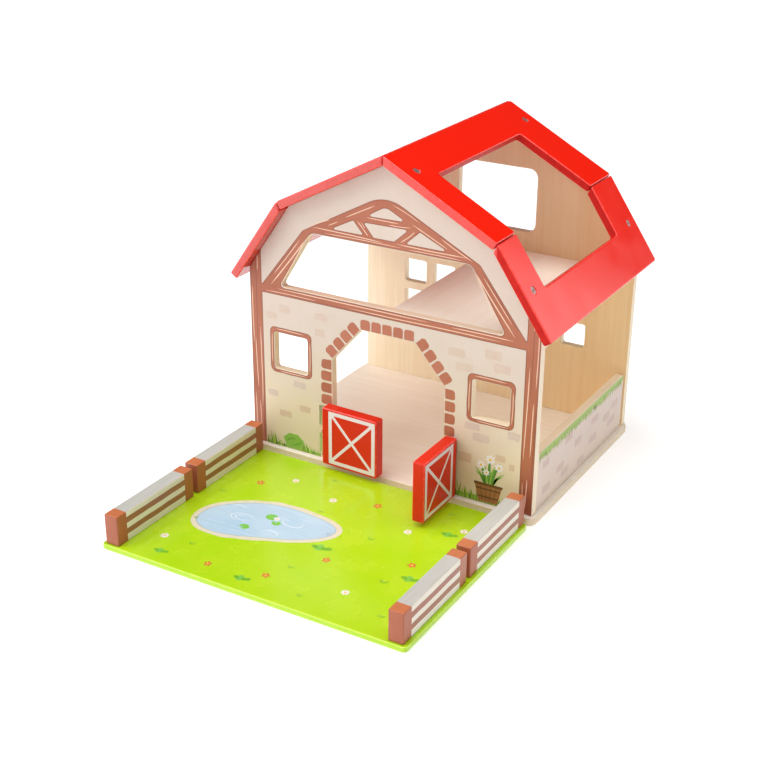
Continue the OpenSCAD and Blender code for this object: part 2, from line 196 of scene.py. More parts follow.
def mat_wood(name, axis, light, dark, edge_light=None, face=None, off=(0, 0, 0), coat=0.12, painted_bounce_tint=None):
    """clear-coated bare wood; the cut edges (away from the face axis) are a little paler; an optional tint that grows
    warmer towards +x is painted bounce light
    """
    t = Tree(name)
    col, h, f = wood_nodes(t, axis, light, dark, off)
    if edge_light is not None:
        nx = t.math("ABSOLUTE", t.xyz(t.Nrm)["XYZ".index(face.upper())])
        m = t.remap(nx, 0.55, 0.9, 1.0, 0.0, True)
        e = t.noise(t.scaled(t.P, (1 / 0.004, 1 / 0.004, 1 / 0.004)), 1.0, 3.0, 0.6)
        fib = t.noise(t.scaled(t.P, (1 / 0.0007, 1 / 0.0007, 1 / 0.0007)), 1.0, 2.0, 0.6)
        ecol = t.mix(t.remap(e, 0.3, 0.7, 0.0, 0.35), edge_light, dark)
        ecol = t.mix(t.remap(fib, 0.55, 0.75, 0.0, 0.22), ecol, dark)
        if painted_bounce_tint is not None:
            # painted bounce light: the colour is tinted warm towards +x, with a noisy boundary
            bounce_wobble = t.noise(t.scaled(t.P, (1 / 0.12, 1 / 0.12, 1 / 0.25)), 1.0, 2.0, 0.5)
            bounce_x = t.math("ADD", t.xyz(t.P)[0], t.remap(bounce_wobble, 0.3, 0.7, -0.02, 0.02))
            col = t.mix(t.remap(bounce_x, -0.10, 0.12, 0.0, 1.0, True), col, painted_bounce_tint, "MULTIPLY")
        col = t.mix(m, col, ecol)
    rough = t.remap(f, 0.0, 1.0, 0.40, 0.56)
    return t.done(col, rough, t.bump(h, 0.00004, 0.5), coat=coat, coat_rough=0.25)


def mat_paint(name, color, wear, rough=0.28, coat=0.35, grain_axis=None, peel=0.00002, dust=0.06, under=None, spec=0.5):
    """satin paint on wood: slight mottling, roller texture and the board's grain telegraphing through; faces turned
    downwards can be darkened as painted shade
    """
    t = Tree(name)
    mott = t.noise(t.scaled(t.P, (1 / 0.03,) * 3), 1.0, 3.0, 0.55)
    fine = t.noise(t.scaled(t.P, (1 / 0.0016,) * 3), 1.0, 2.0, 0.6)
    col = t.mix(t.remap(mott, 0.3, 0.7, 0.0, dust), color, wear)
    col = t.mix(t.remap(fine, 0.45, 0.80, 0.0, 0.06), col, wear)
    # painted shade: faces turned downwards are mixed towards the darker under colour
    if under is not None:
        col = t.mix(t.remap(t.xyz(t.Nrm)[2], -0.45, -0.25, 1.0, 0.0, True), col, under)
    h = t.math("MULTIPLY", fine, 0.5)
    if grain_axis:
        g = t.noise(t.scaled(t.P, grain_scales(grain_axis, 0.0016, 0.06)), 1.0, 2.0, 0.6)
        h = t.math("ADD", h, t.math("MULTIPLY", g, 0.9))
    r = t.remap(mott, 0.3, 0.7, rough - 0.04, rough + 0.07)
    return t.done(col, r, t.bump(h, peel, 0.6), coat=coat, coat_rough=0.12, spec=spec)


def mat_side(name):
    """red-painted saw cuts of the roof boards: matt and deep on most cuts, which is painted shade; glossier and paler
    on the front ends except the right lower board's, a painted highlight, and pinker there on the left as painted
    reflection
    """
    t = Tree(name)
    px, py, pz = t.xyz(t.P)
    n1 = t.noise(t.scaled(t.P, (1 / 0.006,) * 3), 1.0, 3.0, 0.6)
    n2 = t.noise(t.scaled(t.P, (1 / 0.0012,) * 3), 1.0, 2.0, 0.6)
    # mask of the front ends that take the painted highlight; the right lower board's front end stays in painted shade
    front = t.math("MULTIPLY", t.remap(py, -0.1195, -0.1190, 1.0, 0.0), t.remap(px, 0.1095, 0.1110, 1.0, 0.0))
    # painted shade: the darker red of the cuts
    shaded_cut_red = t.mix(t.remap(n1, 0.3, 0.7, 0.0, 1.0), (0.50, 0.010, 0.008, 1.0), (0.60, 0.018, 0.012, 1.0))
    # painted reflection: front ends pinker on the left side, paler red on the right
    left = t.remap(px, -0.02, 0.02, 1.0, 0.0, True)
    pale = t.mix(left, (0.80, 0.045, 0.035, 1.0), (0.66, 0.070, 0.060, 1.0))
    pale = t.mix(t.remap(n1, 0.35, 0.7, 0.0, 0.35), pale, (0.86, 0.12, 0.10, 1.0))
    t.done(t.mix(front, shaded_cut_red, pale), t.remap(n1, 0.3, 0.7, 0.30, 0.42), t.bump(n2, 0.00002, 0.5), coat_rough=0.2)
    t.link(t.remap(front, 0.0, 1.0, 0.12, 0.5), t.sh.inputs["Specular IOR Level"])
    t.link(t.remap(front, 0.0, 1.0, 0.0, 0.3), t.sh.inputs["Coat Weight"])
    return t.mat


def mat_edge(name, color, rough=0.35):
    """paint thinned on a rounded edge, paler there both as wear and as a painted highlight"""
    t = Tree(name)
    chip = t.noise(t.scaled(t.P, (1 / 0.004,) * 3), 1.0, 4.0, 0.65)
    c2 = tuple(min(1.0, a * 1.25 + 0.04) for a in color[:3]) + (1.0,)
    col = t.mix(t.remap(chip, 0.35, 0.7, 0.0, 1.0), color, c2)
    return t.done(col, t.remap(chip, 0.3, 0.7, rough - 0.05, rough + 0.1), t.bump(chip, 0.00003, 0.5), coat=0.2, coat_rough=0.2)


def mat_print(name, color, second=None, amount=0.35, scale=0.012, axis="z", rough=0.40, painted_shadow_col=None):
    """flat printing ink on the board with a trace of the grain beneath"""
    t = Tree(name)
    second = second or tuple(a * 0.86 for a in color[:3]) + (1.0,)
    m = t.noise(t.scaled(t.P, (1 / scale,) * 3), 1.0, 3.0, 0.6)
    g = t.noise(t.scaled(t.P, grain_scales(axis, 0.0016, 0.04)), 1.0, 2.0, 0.6)
    col = t.mix(t.remap(m, 0.3, 0.7, 0.0, amount), color, second)
    col = t.mix(t.remap(g, 0.5, 0.75, 0.0, amount * 0.5), col, second)
    # painted shadow: the timber darkens towards the foot of the right post
    if painted_shadow_col is not None:
        px, py, pz = t.xyz(t.P)
        low = t.math("MULTIPLY", t.remap(pz, 0.006, 0.075, 1.0, 0.0, True), t.remap(px, 0.11, 0.14, 0.0, 0.75))
        col = t.mix(low, col, painted_shadow_col)
    return t.done(col, t.remap(g, 0.3, 0.7, rough - 0.04, rough + 0.08), t.bump(g, 0.00002, 0.4), coat=0.10, coat_rough=0.25)


def mat_metal(name, color, rough=0.28, axis="z"):
    """plated steel with fine rolling marks"""
    t = Tree(name)
    g = t.noise(t.scaled(t.P, grain_scales(axis, 0.00012, 0.006)), 1.0, 2.0, 0.6)
    m = t.noise(t.scaled(t.P, (1 / 0.003,) * 3), 1.0, 3.0, 0.6)
    dark = tuple(a * 0.62 for a in color[:3]) + (1.0,)
    col = t.mix(t.remap(m, 0.35, 0.75, 0.0, 0.5), color, dark)
    r = t.math("ADD", t.remap(g, 0.3, 0.7, rough - 0.06, rough + 0.08), t.remap(m, 0.5, 0.8, 0.0, 0.10))
    return t.done(col, r, t.bump(g, 0.00001, 0.5), metallic=1.0)


# ---------------------------------------------------------------- shapes in the plane, in millimetres

def fillet(pts, radii, n=6):
    out = []
    k = len(pts)
    for i in range(k):
        p0, p1, p2 = Vector(pts[i - 1]), Vector(pts[i]), Vector(pts[(i + 1) % k])
        r = radii[i] if hasattr(radii, "__len__") else radii
        u, v = (p0 - p1), (p2 - p1)
        if r <= 0 or u.length < 1e-6 or v.length < 1e-6:
            out.append((p1.x, p1.y))
            continue
        u.normalize()
        v.normalize()
        half = math.acos(max(-1.0, min(1.0, u.dot(v)))) / 2
        if half > math.radians(89.5):
            out.append((p1.x, p1.y))
            continue
        c = p1 + (u + v).normalized() * (r / math.sin(half))
        q0 = p1 + u * (r / math.tan(half)) - c
        q2 = p1 + v * (r / math.tan(half)) - c
        a0 = math.atan2(q0.y, q0.x)
        d = math.atan2(q2.y, q2.x) - a0
        d = (d + math.pi) % (2 * math.pi) - math.pi
        for j in range(n + 1):
            a = a0 + d * j / n
            out.append((c.x + r * math.cos(a), c.y + r * math.sin(a)))
    return out


def rrect(cx, cy, w, h, r, n=6, rot=0.0):
    p = fillet([(-w / 2, -h / 2), (w / 2, -h / 2), (w / 2, h / 2), (-w / 2, h / 2)], r, n)
    c, s = math.cos(rot), math.sin(rot)
    return [(cx + c * x - s * y, cy + s * x + c * y) for x, y in p]


def area(loop):
    return 0.5 * sum(loop[i - 1][0] * loop[i][1] - loop[i][0] * loop[i - 1][1] for i in range(len(loop)))


def offset(loop, d):
    """moves a closed loop outwards by d (inwards if d is negative)"""
    s = 1.0 if area(loop) > 0 else -1.0
    pts = [Vector(p) for p in loop]
    pts = [p for i, p in enumerate(pts) if (p - pts[i - 1]).length > 1e-4]
    out = []
    k = len(pts)
    for i in range(k):
        a = (pts[i] - pts[i - 1]).normalized()
        b = (pts[(i + 1) % k] - pts[i]).normalized()
        na, nb = Vector((a.y, -a.x)) * s, Vector((b.y, -b.x)) * s
        m = na + nb
        if m.length < 1e-6:
            m = na
        m.normalize()
        c = max(0.35, m.dot(na))
        q = pts[i] + m * (d / c)
        out.append((q.x, q.y))
    return out


def ribbon(pts, w, taper=True, n_curve=0):
    """closed outline of a stroke of width w along points; tapered to its ends"""
    P = [Vector(p) for p in pts]
    if n_curve:
        P = smooth(P, n_curve)
    k = len(P)
    left, right = [], []
    L = [0.0]
    for i in range(1, k):
        L.append(L[-1] + (P[i] - P[i - 1]).length)
    for i in range(k):
        a = P[min(i + 1, k - 1)] - P[max(i - 1, 0)]
        a.normalize()
        nrm = Vector((-a.y, a.x))
        f = L[i] / max(L[-1], 1e-9)
        ww = w / 2 * (min(1.0, 0.18 + 5.0 * min(f, 1 - f)) if taper else 1.0)
        left.append(P[i] + nrm * ww)
        right.append(P[i] - nrm * ww)
    return [(p.x, p.y) for p in left] + [(p.x, p.y) for p in reversed(right)]


def smooth(P, n):
    """Catmull-Rom through the points"""
    P = [Vector(p) for p in P]
    Q = [P[0] * 2 - P[1]] + P + [P[-1] * 2 - P[-2]]
    out = []
    for i in range(1, len(Q) - 2):
        for j in range(n):
            t = j / n
            a, b, c, d = Q[i - 1], Q[i], Q[i + 1], Q[i + 2]
            out.append(0.5 * ((2 * b) + (c - a) * t + (2 * a - 5 * b + 4 * c - d) * t * t + (3 * b - a - 3 * c + d) * t ** 3))
    out.append(P[-1])
    return out


def densify(loop, step):
    out = []
    for i in range(len(loop)):
        a, b = Vector(loop[i]), Vector(loop[(i + 1) % len(loop)])
        n = max(1, int((b - a).length / step))
        for j in range(n):
            q = a + (b - a) * (j / n)
            out.append((q.x, q.y))
    return out


def wobble(loop, amp, seed, step=1.6):
    """a hand-drawn edge: small smooth offsets along a loop"""
    rnd = random.Random(seed)
    pts = densify(loop, step)
    k = len(pts)
    ph = [rnd.uniform(0, 6.283) for _ in range(5)]
    fr = [rnd.choice((3, 4, 5, 7, 9, 11, 13)) for _ in range(5)]
    out = []
    for i in range(k):
        a, b = Vector(pts[i - 1]), Vector(pts[(i + 1) % k])
        d = b - a
        if d.length < 1e-9:
            out.append(pts[i])
            continue
        d.normalize()
        t = 2 * math.pi * i / k
        s = sum(math.sin(fr[j] * t + ph[j]) for j in range(5)) / 5 * amp
        out.append((pts[i][0] + d.y * s, pts[i][1] - d.x * s))
    return out


class Print:
    """flat printed shapes on one face, gathered into one closed-slab mesh per colour"""

    def __init__(self, name, place, body, slot):
        self.name, self.place, self.body, self.slot = name, place, body, slot
        self.sets = {}

    def fill(self, mat, loops, level=0):
        if loops and not hasattr(loops[0][0], "__len__"):
            loops = [loops]
        self.sets.setdefault((mat.name, level), []).append((mat, loops))

    def build(self):
        for (mname, level), items in self.sets.items():
            verts, faces = [], []
            top = 0.040 + 0.022 * level
            for mat, loops in items:
                clean = []
                for lp in loops:
                    q = []
                    for p in lp:
                        if not q or (Vector(p) - Vector(q[-1])).length > 0.02:
                            q.append(p)
                    if (Vector(q[0]) - Vector(q[-1])).length <= 0.02:
                        q.pop()
                    clean.append(q)
                loops = clean
                if area(loops[0]) < 0:
                    loops[0] = loops[0][::-1]
                for i in range(1, len(loops)):
                    if area(loops[i]) > 0:
                        loops[i] = loops[i][::-1]
                tri = tessellate_polygon([[Vector((x, y, 0)) for x, y in lp] for lp in loops])
                flat = [p for lp in loops for p in lp]
                n = len(flat)
                b = len(verts)
                verts += [(x, y, top) for x, y in flat] + [(x, y, -0.06) for x, y in flat]
                for a0, a1, a2 in tri:
                    (x0, y0), (x1, y1), (x2, y2) = flat[a0], flat[a1], flat[a2]
                    if (x1 - x0) * (y2 - y0) - (x2 - x0) * (y1 - y0) < 0:
                        a1, a2 = a2, a1
                    faces.append((b + a0, b + a1, b + a2))
                    faces.append((b + n + a2, b + n + a1, b + n + a0))
                s = 0
                for lp in loops:
                    m = len(lp)
                    for i in range(m):
                        p, q = b + s + i, b + s + (i + 1) % m
                        faces.append((p, p + n, q + n, q))
                    s += m
            me = bpy.data.meshes.new(self.name)
            me.from_pydata([tuple(self.place @ (Vector(v) * MM)) for v in verts], [], faces)
            me.materials.append(mat)
            me.update()
            ob = bpy.data.objects.new("%s_%s_%d" % (self.name, mname, level), me)
            bpy.context.scene.collection.objects.link(ob)
            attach(ob, self.body)


def place(origin, ex, ey, ez):
    m = Matrix.Identity(4)
    for i, e in enumerate((ex, ey, ez)):
        for j in range(3):
            m[j][i] = e[j]
    for j in range(3):
        m[j][3] = origin[j] * MM
    return m


# ---------------------------------------------------------------- bare materials

WOOD_L = rgb(249, 238, 219)
WOOD_D = rgb(240, 220, 190)
CREAM = rgb(219, 201, 191)
CREAM2 = rgb(213, 192, 176)

wood_wall = mat_wood("wood_wall", "z", WOOD_L, WOOD_D, rgb(238, 219, 190), "y", coat=0.15)
# the rear wall's last colour is a painted warm bounce tint that grows towards +x
wood_rear = mat_wood("wood_rear", "z", rgb(249, 236, 209), rgb(240, 217, 178), rgb(243, 226, 198), "y", (1.3, 4.4, 0.6), 0.12, (0.93, 0.79, 0.60, 1.0))
wood_loft = mat_wood("wood_loft", "y", rgb(252, 249, 236), rgb(247, 237, 215), rgb(246, 234, 214), "z", (5.2, 1.1, 0.3), 0.15)
wood_floor = mat_wood("wood_floor", "y", rgb(248, 250, 245), rgb(242, 240, 229), rgb(246, 235, 216), "z", (3.1, 0.2, 1.7), 0.15)
wood_base = mat_wood("wood_base", "x", rgb(246, 239, 228), rgb(238, 226, 208), rgb(226, 204, 170), "z", (7.1, 2.2, 1.7), 0.15)
wood_dowel = mat_wood("wood_dowel", "y", rgb(232, 205, 165), rgb(204, 168, 122))


def mat_printed_board(name, axis, sign, print_col, print_col2, low_col, z_low, z_high, off=(0, 0, 0)):
    """board with printed film on one face and bare wood elsewhere"""
    t = Tree(name)
    wcol, wh, wf = wood_nodes(t, "z", WOOD_L, WOOD_D, off)
    n = t.xyz(t.Nrm)["xyz".index(axis)]
    m = t.remap(t.math("MULTIPLY", n, sign), 0.80, 0.97, 0.0, 1.0, True)
    ax = t.math("ABSOLUTE", n)
    edge = t.remap(ax, 0.55, 0.9, 1.0, 0.0, True)
    fib = t.noise(t.scaled(t.P, (1 / 0.0009,) * 3), 1.0, 3.0, 0.6)
    ecol = t.mix(t.remap(fib, 0.4, 0.75, 0.0, 0.4), rgb(238, 220, 192), WOOD_D)
    wcol = t.mix(edge, wcol, ecol)
    mott = t.noise(t.scaled(t.P, (1 / 0.028,) * 3), 1.0, 4.0, 0.6)
    haze = t.noise(t.scaled(t.P, (1 / 0.075,) * 3, (4, 1, 2)), 1.0, 2.0, 0.5)
    grain = t.noise(t.scaled(t.P, grain_scales("z", 0.0018, 0.05)), 1.0, 2.0, 0.6)
    pcol = t.mix(t.remap(mott, 0.35, 0.7, 0.0, 0.55), print_col, print_col2)
    pcol = t.mix(t.remap(grain, 0.5, 0.8, 0.0, 0.25), pcol, print_col2)
    zz = t.xyz(t.P)["Z"] if False else t.xyz(t.P)[2]
    low = t.math("MULTIPLY", t.remap(zz, z_low, z_high, 1.0, 0.0, True), t.remap(haze, 0.25, 0.7, 0.55, 1.0))
    pcol = t.mix(low, pcol, low_col)
    col = t.mix(m, wcol, pcol)
    rough = t.remap(grain, 0.3, 0.7, 0.36, 0.50)
    h = t.math("ADD", t.math("MULTIPLY", grain, 0.6), t.math("MULTIPLY", fib, 0.4))
    return t.done(col, rough, t.bump(h, 0.00003, 0.45), coat=0.15, coat_rough=0.22)


front_board = mat_printed_board("front_board", "y", -1.0, CREAM, CREAM2, rgb(234, 212, 178), 0.02, 0.15)
half_board = mat_printed_board("half_board", "x", 1.0, rgb(217, 198, 186), rgb(209, 188, 175), rgb(217, 196, 175), 0.01, 0.05, (2, 5, 1))

RED = (0.98, 0.013, 0.001, 1.0)
# the roof red's under colour is painted shade on the downward-facing undersides
red = mat_paint("red_satin", RED, (1.0, 0.025, 0.006, 1.0), 0.13, 0.5, "y", under=(0.62, 0.010, 0.003, 1.0))
red_side = mat_side("red_side")
# the paler edge colour is wear and a painted highlight on the rounded edges
red_edge = mat_edge("red_edge", (0.92, 0.045, 0.03, 1.0), 0.24)
# a darker copy of the roof red: painted shade on the front-facing doors
red_door = mat_paint("red_door", (0.70, 0.018, 0.003, 1.0), (0.78, 0.035, 0.01, 1.0), 0.36, 0.10, "z", spec=0.25)
GREEN = (0.42, 0.70, 0.003, 1.0)
green = mat_paint("yard_green", GREEN, (0.53, 0.75, 0.02, 1.0), 0.24, 0.36, "x", 0.00002, 0.5)
# paler green on the rounded edges: wear and a painted highlight
green_edge = mat_edge("green_edge", (0.55, 0.82, 0.05, 1.0))
# pink-tinted steel: plated grey with a painted reflection of the red roof in its colour
steel_red_reflection = mat_metal("screw_steel", (0.72, 0.62, 0.60, 1.0), 0.46, "z")
hinge_steel = mat_metal("hinge_steel", (0.66, 0.64, 0.58, 1.0), 0.30, "z")


# ---------------------------------------------------------------- CAD nodes that keep their own mesh

def finish_node(name, mat):
    ob = N[name]
    for sl in ob.material_slots:
        sl.material = mat
    if not ob.material_slots:
        ob.data.materials.append(mat)


for n in N:
    if n.endswith("_leaf") or n == "hinge_pins":
        finish_node(n, hinge_steel)
    elif n.endswith("screws"):
        finish_node(n, steel_red_reflection)
finish_node("loft_dowels", wood_dowel)


# ---------------------------------------------------------------- boards with rounded edges

def circle(x, y, r, n=32):
    return [(x + r * math.cos(2 * math.pi * i / n), y + r * math.sin(2 * math.pi * i / n)) for i in range(n)]


def side_normals(loop, sign):
    k = len(loop)
    out = []
    for i in range(k):
        a = (Vector(loop[i]) - Vector(loop[i - 1])).normalized()
        b = (Vector(loop[(i + 1) % k]) - Vector(loop[i])).normalized()
        d = (Vector((a.y, -a.x)) + Vector((b.y, -b.x)))
        out.append(d.normalized() * sign if d.length > 1e-6 else Vector((a.y, -a.x)) * sign)
    return out


def board(name, node, at, body, mats, T, R, outer, holes=(), bores=(), shift=None, K=4):
    """closed board: outer loop and holes in the plane z = 0 of the frame at, thickness T below it,
    edges rounded with R; bores are (x, y, [(depth, radius), ...])"""
    if area(outer) < 0:
        outer = outer[::-1]
    holes = [h if area(h) > 0 else h[::-1] for h in holes]
    verts, norms, faces, mi = [], [], [], []

    def moved(x, y, t):
        return (x + (shift(x, y, t) if shift else 0.0), y, -t)

    prof = []
    for k in range(K + 1):
        a = math.pi / 2 * k / K
        prof.append((R * (1 - math.sin(a)), R * (1 - math.cos(a)), math.sin(a), math.cos(a)))
    prof += [(d, T - t, sn, -cs) for d, t, sn, cs in reversed(prof)]
    caps_top, caps_bot = [], []
    for loop, sign in [(outer, 1.0)] + [(h, -1.0) for h in holes]:
        m = len(loop)
        sn2 = side_normals(loop, sign)
        start = len(verts)
        for d, t, sn, cs in prof:
            for (x, y), q in zip(loop, sn2):
                verts.append(moved(x - q.x * d, y - q.y * d, t))
                norms.append(Vector((q.x * sn, q.y * sn, cs)))
        for r_ in range(len(prof) - 1):
            for i_ in range(m):
                a0 = start + r_ * m + i_
                a1 = start + r_ * m + (i_ + 1) % m
                f = (a0, a0 + m, a1 + m, a1) if sign > 0 else (a0, a1, a1 + m, a0 + m)
                faces.append(f)
                # rounded rings take the edge material: wear and a painted highlight
                worn_and_sheen = len(mats) > 1 and (0 < r_ < K - 1 or len(prof) - K < r_ + 1 < len(prof) - 1)
                mi.append(2 if len(mats) > 2 and K - 1 <= r_ <= K + 1 else 1 if worn_and_sheen else 0)
        caps_top.append(list(range(start, start + m)))
        caps_bot.append(list(range(start + (len(prof) - 1) * m, start + len(prof) * m)))
    for x, y, rings in bores:
        m = 32
        start = len(verts)
        for t, r_ in rings:
            for px_, py_ in circle(x, y, r_, m):
                verts.append(moved(px_, py_, t))
                if t <= 0.001:
                    norms.append(Vector((0, 0, 1)))
                elif t >= T - 0.001:
                    norms.append(Vector((0, 0, -1)))
                else:
                    norms.append(Vector((x - px_, y - py_, 0)).normalized())
        for r_ in range(len(rings) - 1):
            for i_ in range(m):
                a0 = start + r_ * m + i_
                a1 = start + r_ * m + (i_ + 1) % m
                faces.append((a0, a1, a1 + m, a0 + m))
                mi.append(0)
        caps_top.append(list(range(start, start + m)))
        caps_bot.append(list(range(start + (len(rings) - 1) * m, start + len(rings) * m)))
    for caps, up_ in ((caps_top, True), (caps_bot, False)):
        flat = [i_ for c in caps for i_ in c]
        tri = tessellate_polygon([[Vector((verts[i_][0], verts[i_][1], 0)) for i_ in (c if n_ == 0 else c[::-1])] for n_, c in enumerate(caps)])
        flat = [i_ for n_, c in enumerate(caps) for i_ in (c if n_ == 0 else c[::-1])]
        for t3 in tri:
            a0, a1, a2 = [flat[i_] for i_ in t3]
            (x0, y0, _), (x1, y1, _), (x2, y2, _) = verts[a0], verts[a1], verts[a2]
            ar = (x1 - x0) * (y2 - y0) - (x2 - x0) * (y1 - y0)
            if abs(ar) < 1e-9:
                continue
            if (ar < 0) == up_:
                a1, a2 = a2, a1
            faces.append((a0, a1, a2))
            mi.append(0)
    rot = at.to_3x3()
    if rot.determinant() < 0:
        faces = [f[::-1] for f in faces]
    me = bpy.data.meshes.new(name)
    me.from_pydata([tuple(at @ (Vector(v) * MM)) for v in verts], [], faces)
    for mt in mats:
        me.materials.append(mt)
    me.polygons.foreach_set("material_index", mi)
    me.polygons.foreach_set("use_smooth", [True] * len(faces))
    me.update()
    me.normals_split_custom_set_from_vertices([(rot @ v).normalized() for v in norms])
    ob = bpy.data.objects.new(name, me)
    bpy.context.scene.collection.objects.link(ob)
    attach(ob, body)
    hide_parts(node)
    return ob


# main sizes, as in the model
BT, T8 = 8.0, 8.0
RIDGE, KNEE_X, KNEE, EAVE_X, EAVE = 309.7, 110.1, 251.75, 163.7, 174.0
A1, A2 = math.atan((RIDGE - KNEE) / KNEE_X), math.atan((KNEE - EAVE) / (EAVE_X - KNEE_X))
L1, L2 = KNEE_X / math.cos(A1), (EAVE_X - KNEE_X) / math.cos(A2)
YF_, YR_ = -110.5, 113.0
Y0, Y1 = -123.0, 124.5


def roof(name, right, upper, mats):
    sx = 1.0 if right else -1.0
    a = A1 if upper else A2
    org = (0, 0, BT + RIDGE) if upper else (sx * KNEE_X, 0, BT + KNEE)
    at = place(org, (sx * math.cos(a), 0, -math.sin(a)), (0, 1, 0), (sx * math.sin(a), 0, math.cos(a)))
    if upper:
        s0, s1, sh, sc = 0.4 / math.cos(A1), L1, math.tan(A1), 28.3
    else:
        s0, s1, sh, sc = 0.9 / math.cos(A2 - A1), L2, math.tan(A2 - A1), 49.3
    if right and upper:
        pts = [(s0, Y0), (s1, Y0), (s1, -87.5), (40.0, -87.5), (40.0, 76.0), (s1, 76.0), (s1, Y1), (s0, Y1)]
        rad = [2.0, 2.0, 1.9, 3.0, 3.0, 1.9, 2.0, 2.0]
    elif right:
        pts = [(s0, Y0), (s1, Y0), (s1, Y1), (s0, Y1), (s0, 76.0), (52.5, 76.0), (52.5, -87.5), (s0, -87.5)]
        rad = [2.0, 2.8, 2.8, 2.0, 1.9, 3.0, 3.0, 1.9]
    else:
        pts = [(s0, Y0), (s1, Y0), (s1, Y1), (s0, Y1)]
        rad = [2.0, 2.8, 2.8, 2.0]
    bore = [(0.0, 3.85), (0.25, 3.58), (0.85, 3.58), (2.85, 1.78), (T8, 1.78)]
    board(name + "_board", name, at, "barn", mats, T8, 1.4, fillet(pts, rad, 5),
          bores=[(sc, YF_ + 4, bore), (sc, YR_ - 4, bore)],
          shift=lambda x, y, t: t * sh * max(0.0, 1.0 - (x - s0) / 22.0))


roof("roof_left_lower", False, False, [red, red_edge, red_side])
roof("roof_left_upper", False, True, [red, red_edge, red_side])
roof("roof_right_upper", True, True, [red, red_edge, red_side])
roof("roof_right_lower", True, False, [red, red_edge, red_side])


def under1(x):
    return BT + RIDGE - 8.1 / math.cos(A1) - x * math.tan(A1)


def under2(x):
    return BT + KNEE - math.tan(A2) * (x - KNEE_X) - 8.1 / math.cos(A2)


kx = ((BT + KNEE + math.tan(A2) * KNEE_X - 8.1 / math.cos(A2)) - (BT + RIDGE - 8.1 / math.cos(A1))) / (math.tan(A2) - math.tan(A1))
wall_pts = [(-150, BT), (-150, under2(150)), (-kx, under1(kx)), (0, under1(0)), (kx, under1(kx)), (150, under2(150)), (150, BT)]
front_pts = wall_pts + [(59, BT), (59, 113.5), (27.8, 149.4), (-27.8, 149.4), (-59, 113.5), (-59, BT)]
loft_hole = fillet([(-116, 174.5), (-81, 231.8), (81, 231.8), (116, 174.5)], [3, 9, 9, 3], 8)
at_front = place((0, YF_, 0), (1, 0, 0), (0, 0, 1), (0, -1, 0))
board("front_wall_board", "front_wall", at_front, "barn", [front_board], T8, 0.6,
      fillet(front_pts, [0.8] * 7 + [0.8, 1.0, 1.0, 1.0, 1.0, 0.8], 4),
      holes=[loft_hole, rrect(-105, 109.2, 37, 37, 2.5), rrect(105, 109.2, 37, 37, 2.5)])
at_rear = place((0, YR_ - 8, 0), (1, 0, 0), (0, 0, 1), (0, -1, 0))
board("rear_wall_board", "rear_wall", at_rear, "barn", [wood_rear], T8, 0.6,
      fillet(wall_pts, 0.8, 4),
      holes=[rrect(0, BT + (185.5 + 249.8) / 2, 86, 249.8 - 185.5, 9)] +
            [rrect(sx * 74 + dx * 33.5, BT + 104.25 + dz * 33.5, 25, 25, 2.5) for sx in (-1, 1) for dx in (-0.5, 0.5) for dz in (-0.5, 0.5)])
at_half = place((149.0, 0, 0), (0, 1, 0), (0, 0, 1), (1, 0, 0))
board("half_wall_board", "right_half_wall", at_half, "barn", [half_board], T8, 0.9,
      fillet([(-100, BT), (102.5, BT), (102.5, BT + 58.5), (-100, BT + 58.5)], [1.0, 1.0, 5, 5], 6))
at_loft = place((0, 0, BT + 166), (1, 0, 0), (0, 1, 0), (0, 0, 1))
board("loft_floor_board", "loft_floor", at_loft, "barn", [wood_loft], T8, 0.7,
      fillet([(0.5, -102.4), (148.0, -102.4), (148.0, 104.9), (0.5, 104.9)], 0.8, 4))
at_base = place((0, 0, BT), (1, 0, 0), (0, 1, 0), (0, 0, 1))
under = [(0.0, 1.78), (5.95, 1.78), (8.0, 3.58)]
board("base_board_board", "base_board", at_base, "barn", [wood_base], T8, 1.1,
      rrect(0, 0, 307, 231, 8, 10),
      bores=[(x, y, under) for x in (-104, 104) for y in (YF_ + 4, YR_ - 4)] + [(145, -60, under), (145, 62.5, under)])


def door(name, body, axis_x, angle, side):
    a = math.radians(angle) * side
    at = Matrix.Translation(Vector((axis_x, -112.5, 0)) * MM) @ Matrix.Rotation(a, 4, "Z") @ place((0, -11.0, 0), (1, 0, 0), (0, 0, 1), (0, -1, 0))
    x0, x1 = (-62.7, -2.0) if side > 0 else (2.0, 62.7)
    board(name + "_block", name, at, body, [red_door, red_edge], 12.0, 1.5,
          fillet([(x0, 10), (x1, 10), (x1, 69), (x0, 69)], 1.9, 6))


door("door_left", "left_door", -64.5, 2.0, -1)
door("door_right", "right_door", 64.5, 90.0, 1)

at_yard = place((0, 0, 5.0), (1, 0, 0), (0, 1, 0), (0, 0, 1))
under = [(0.0, 1.53), (3.25, 1.53), (5.0, 2.98)]
board("yard_board_board", "yard_board", at_yard, "yard", [green, green_edge], 5.0, 1.2,
      rrect(0, -229, 301, 219, 4, 8),
      bores=[(x, y + d, under) for x in (-140, 140) for y in (-283.5, -172.5) for d in (-34, 34)])


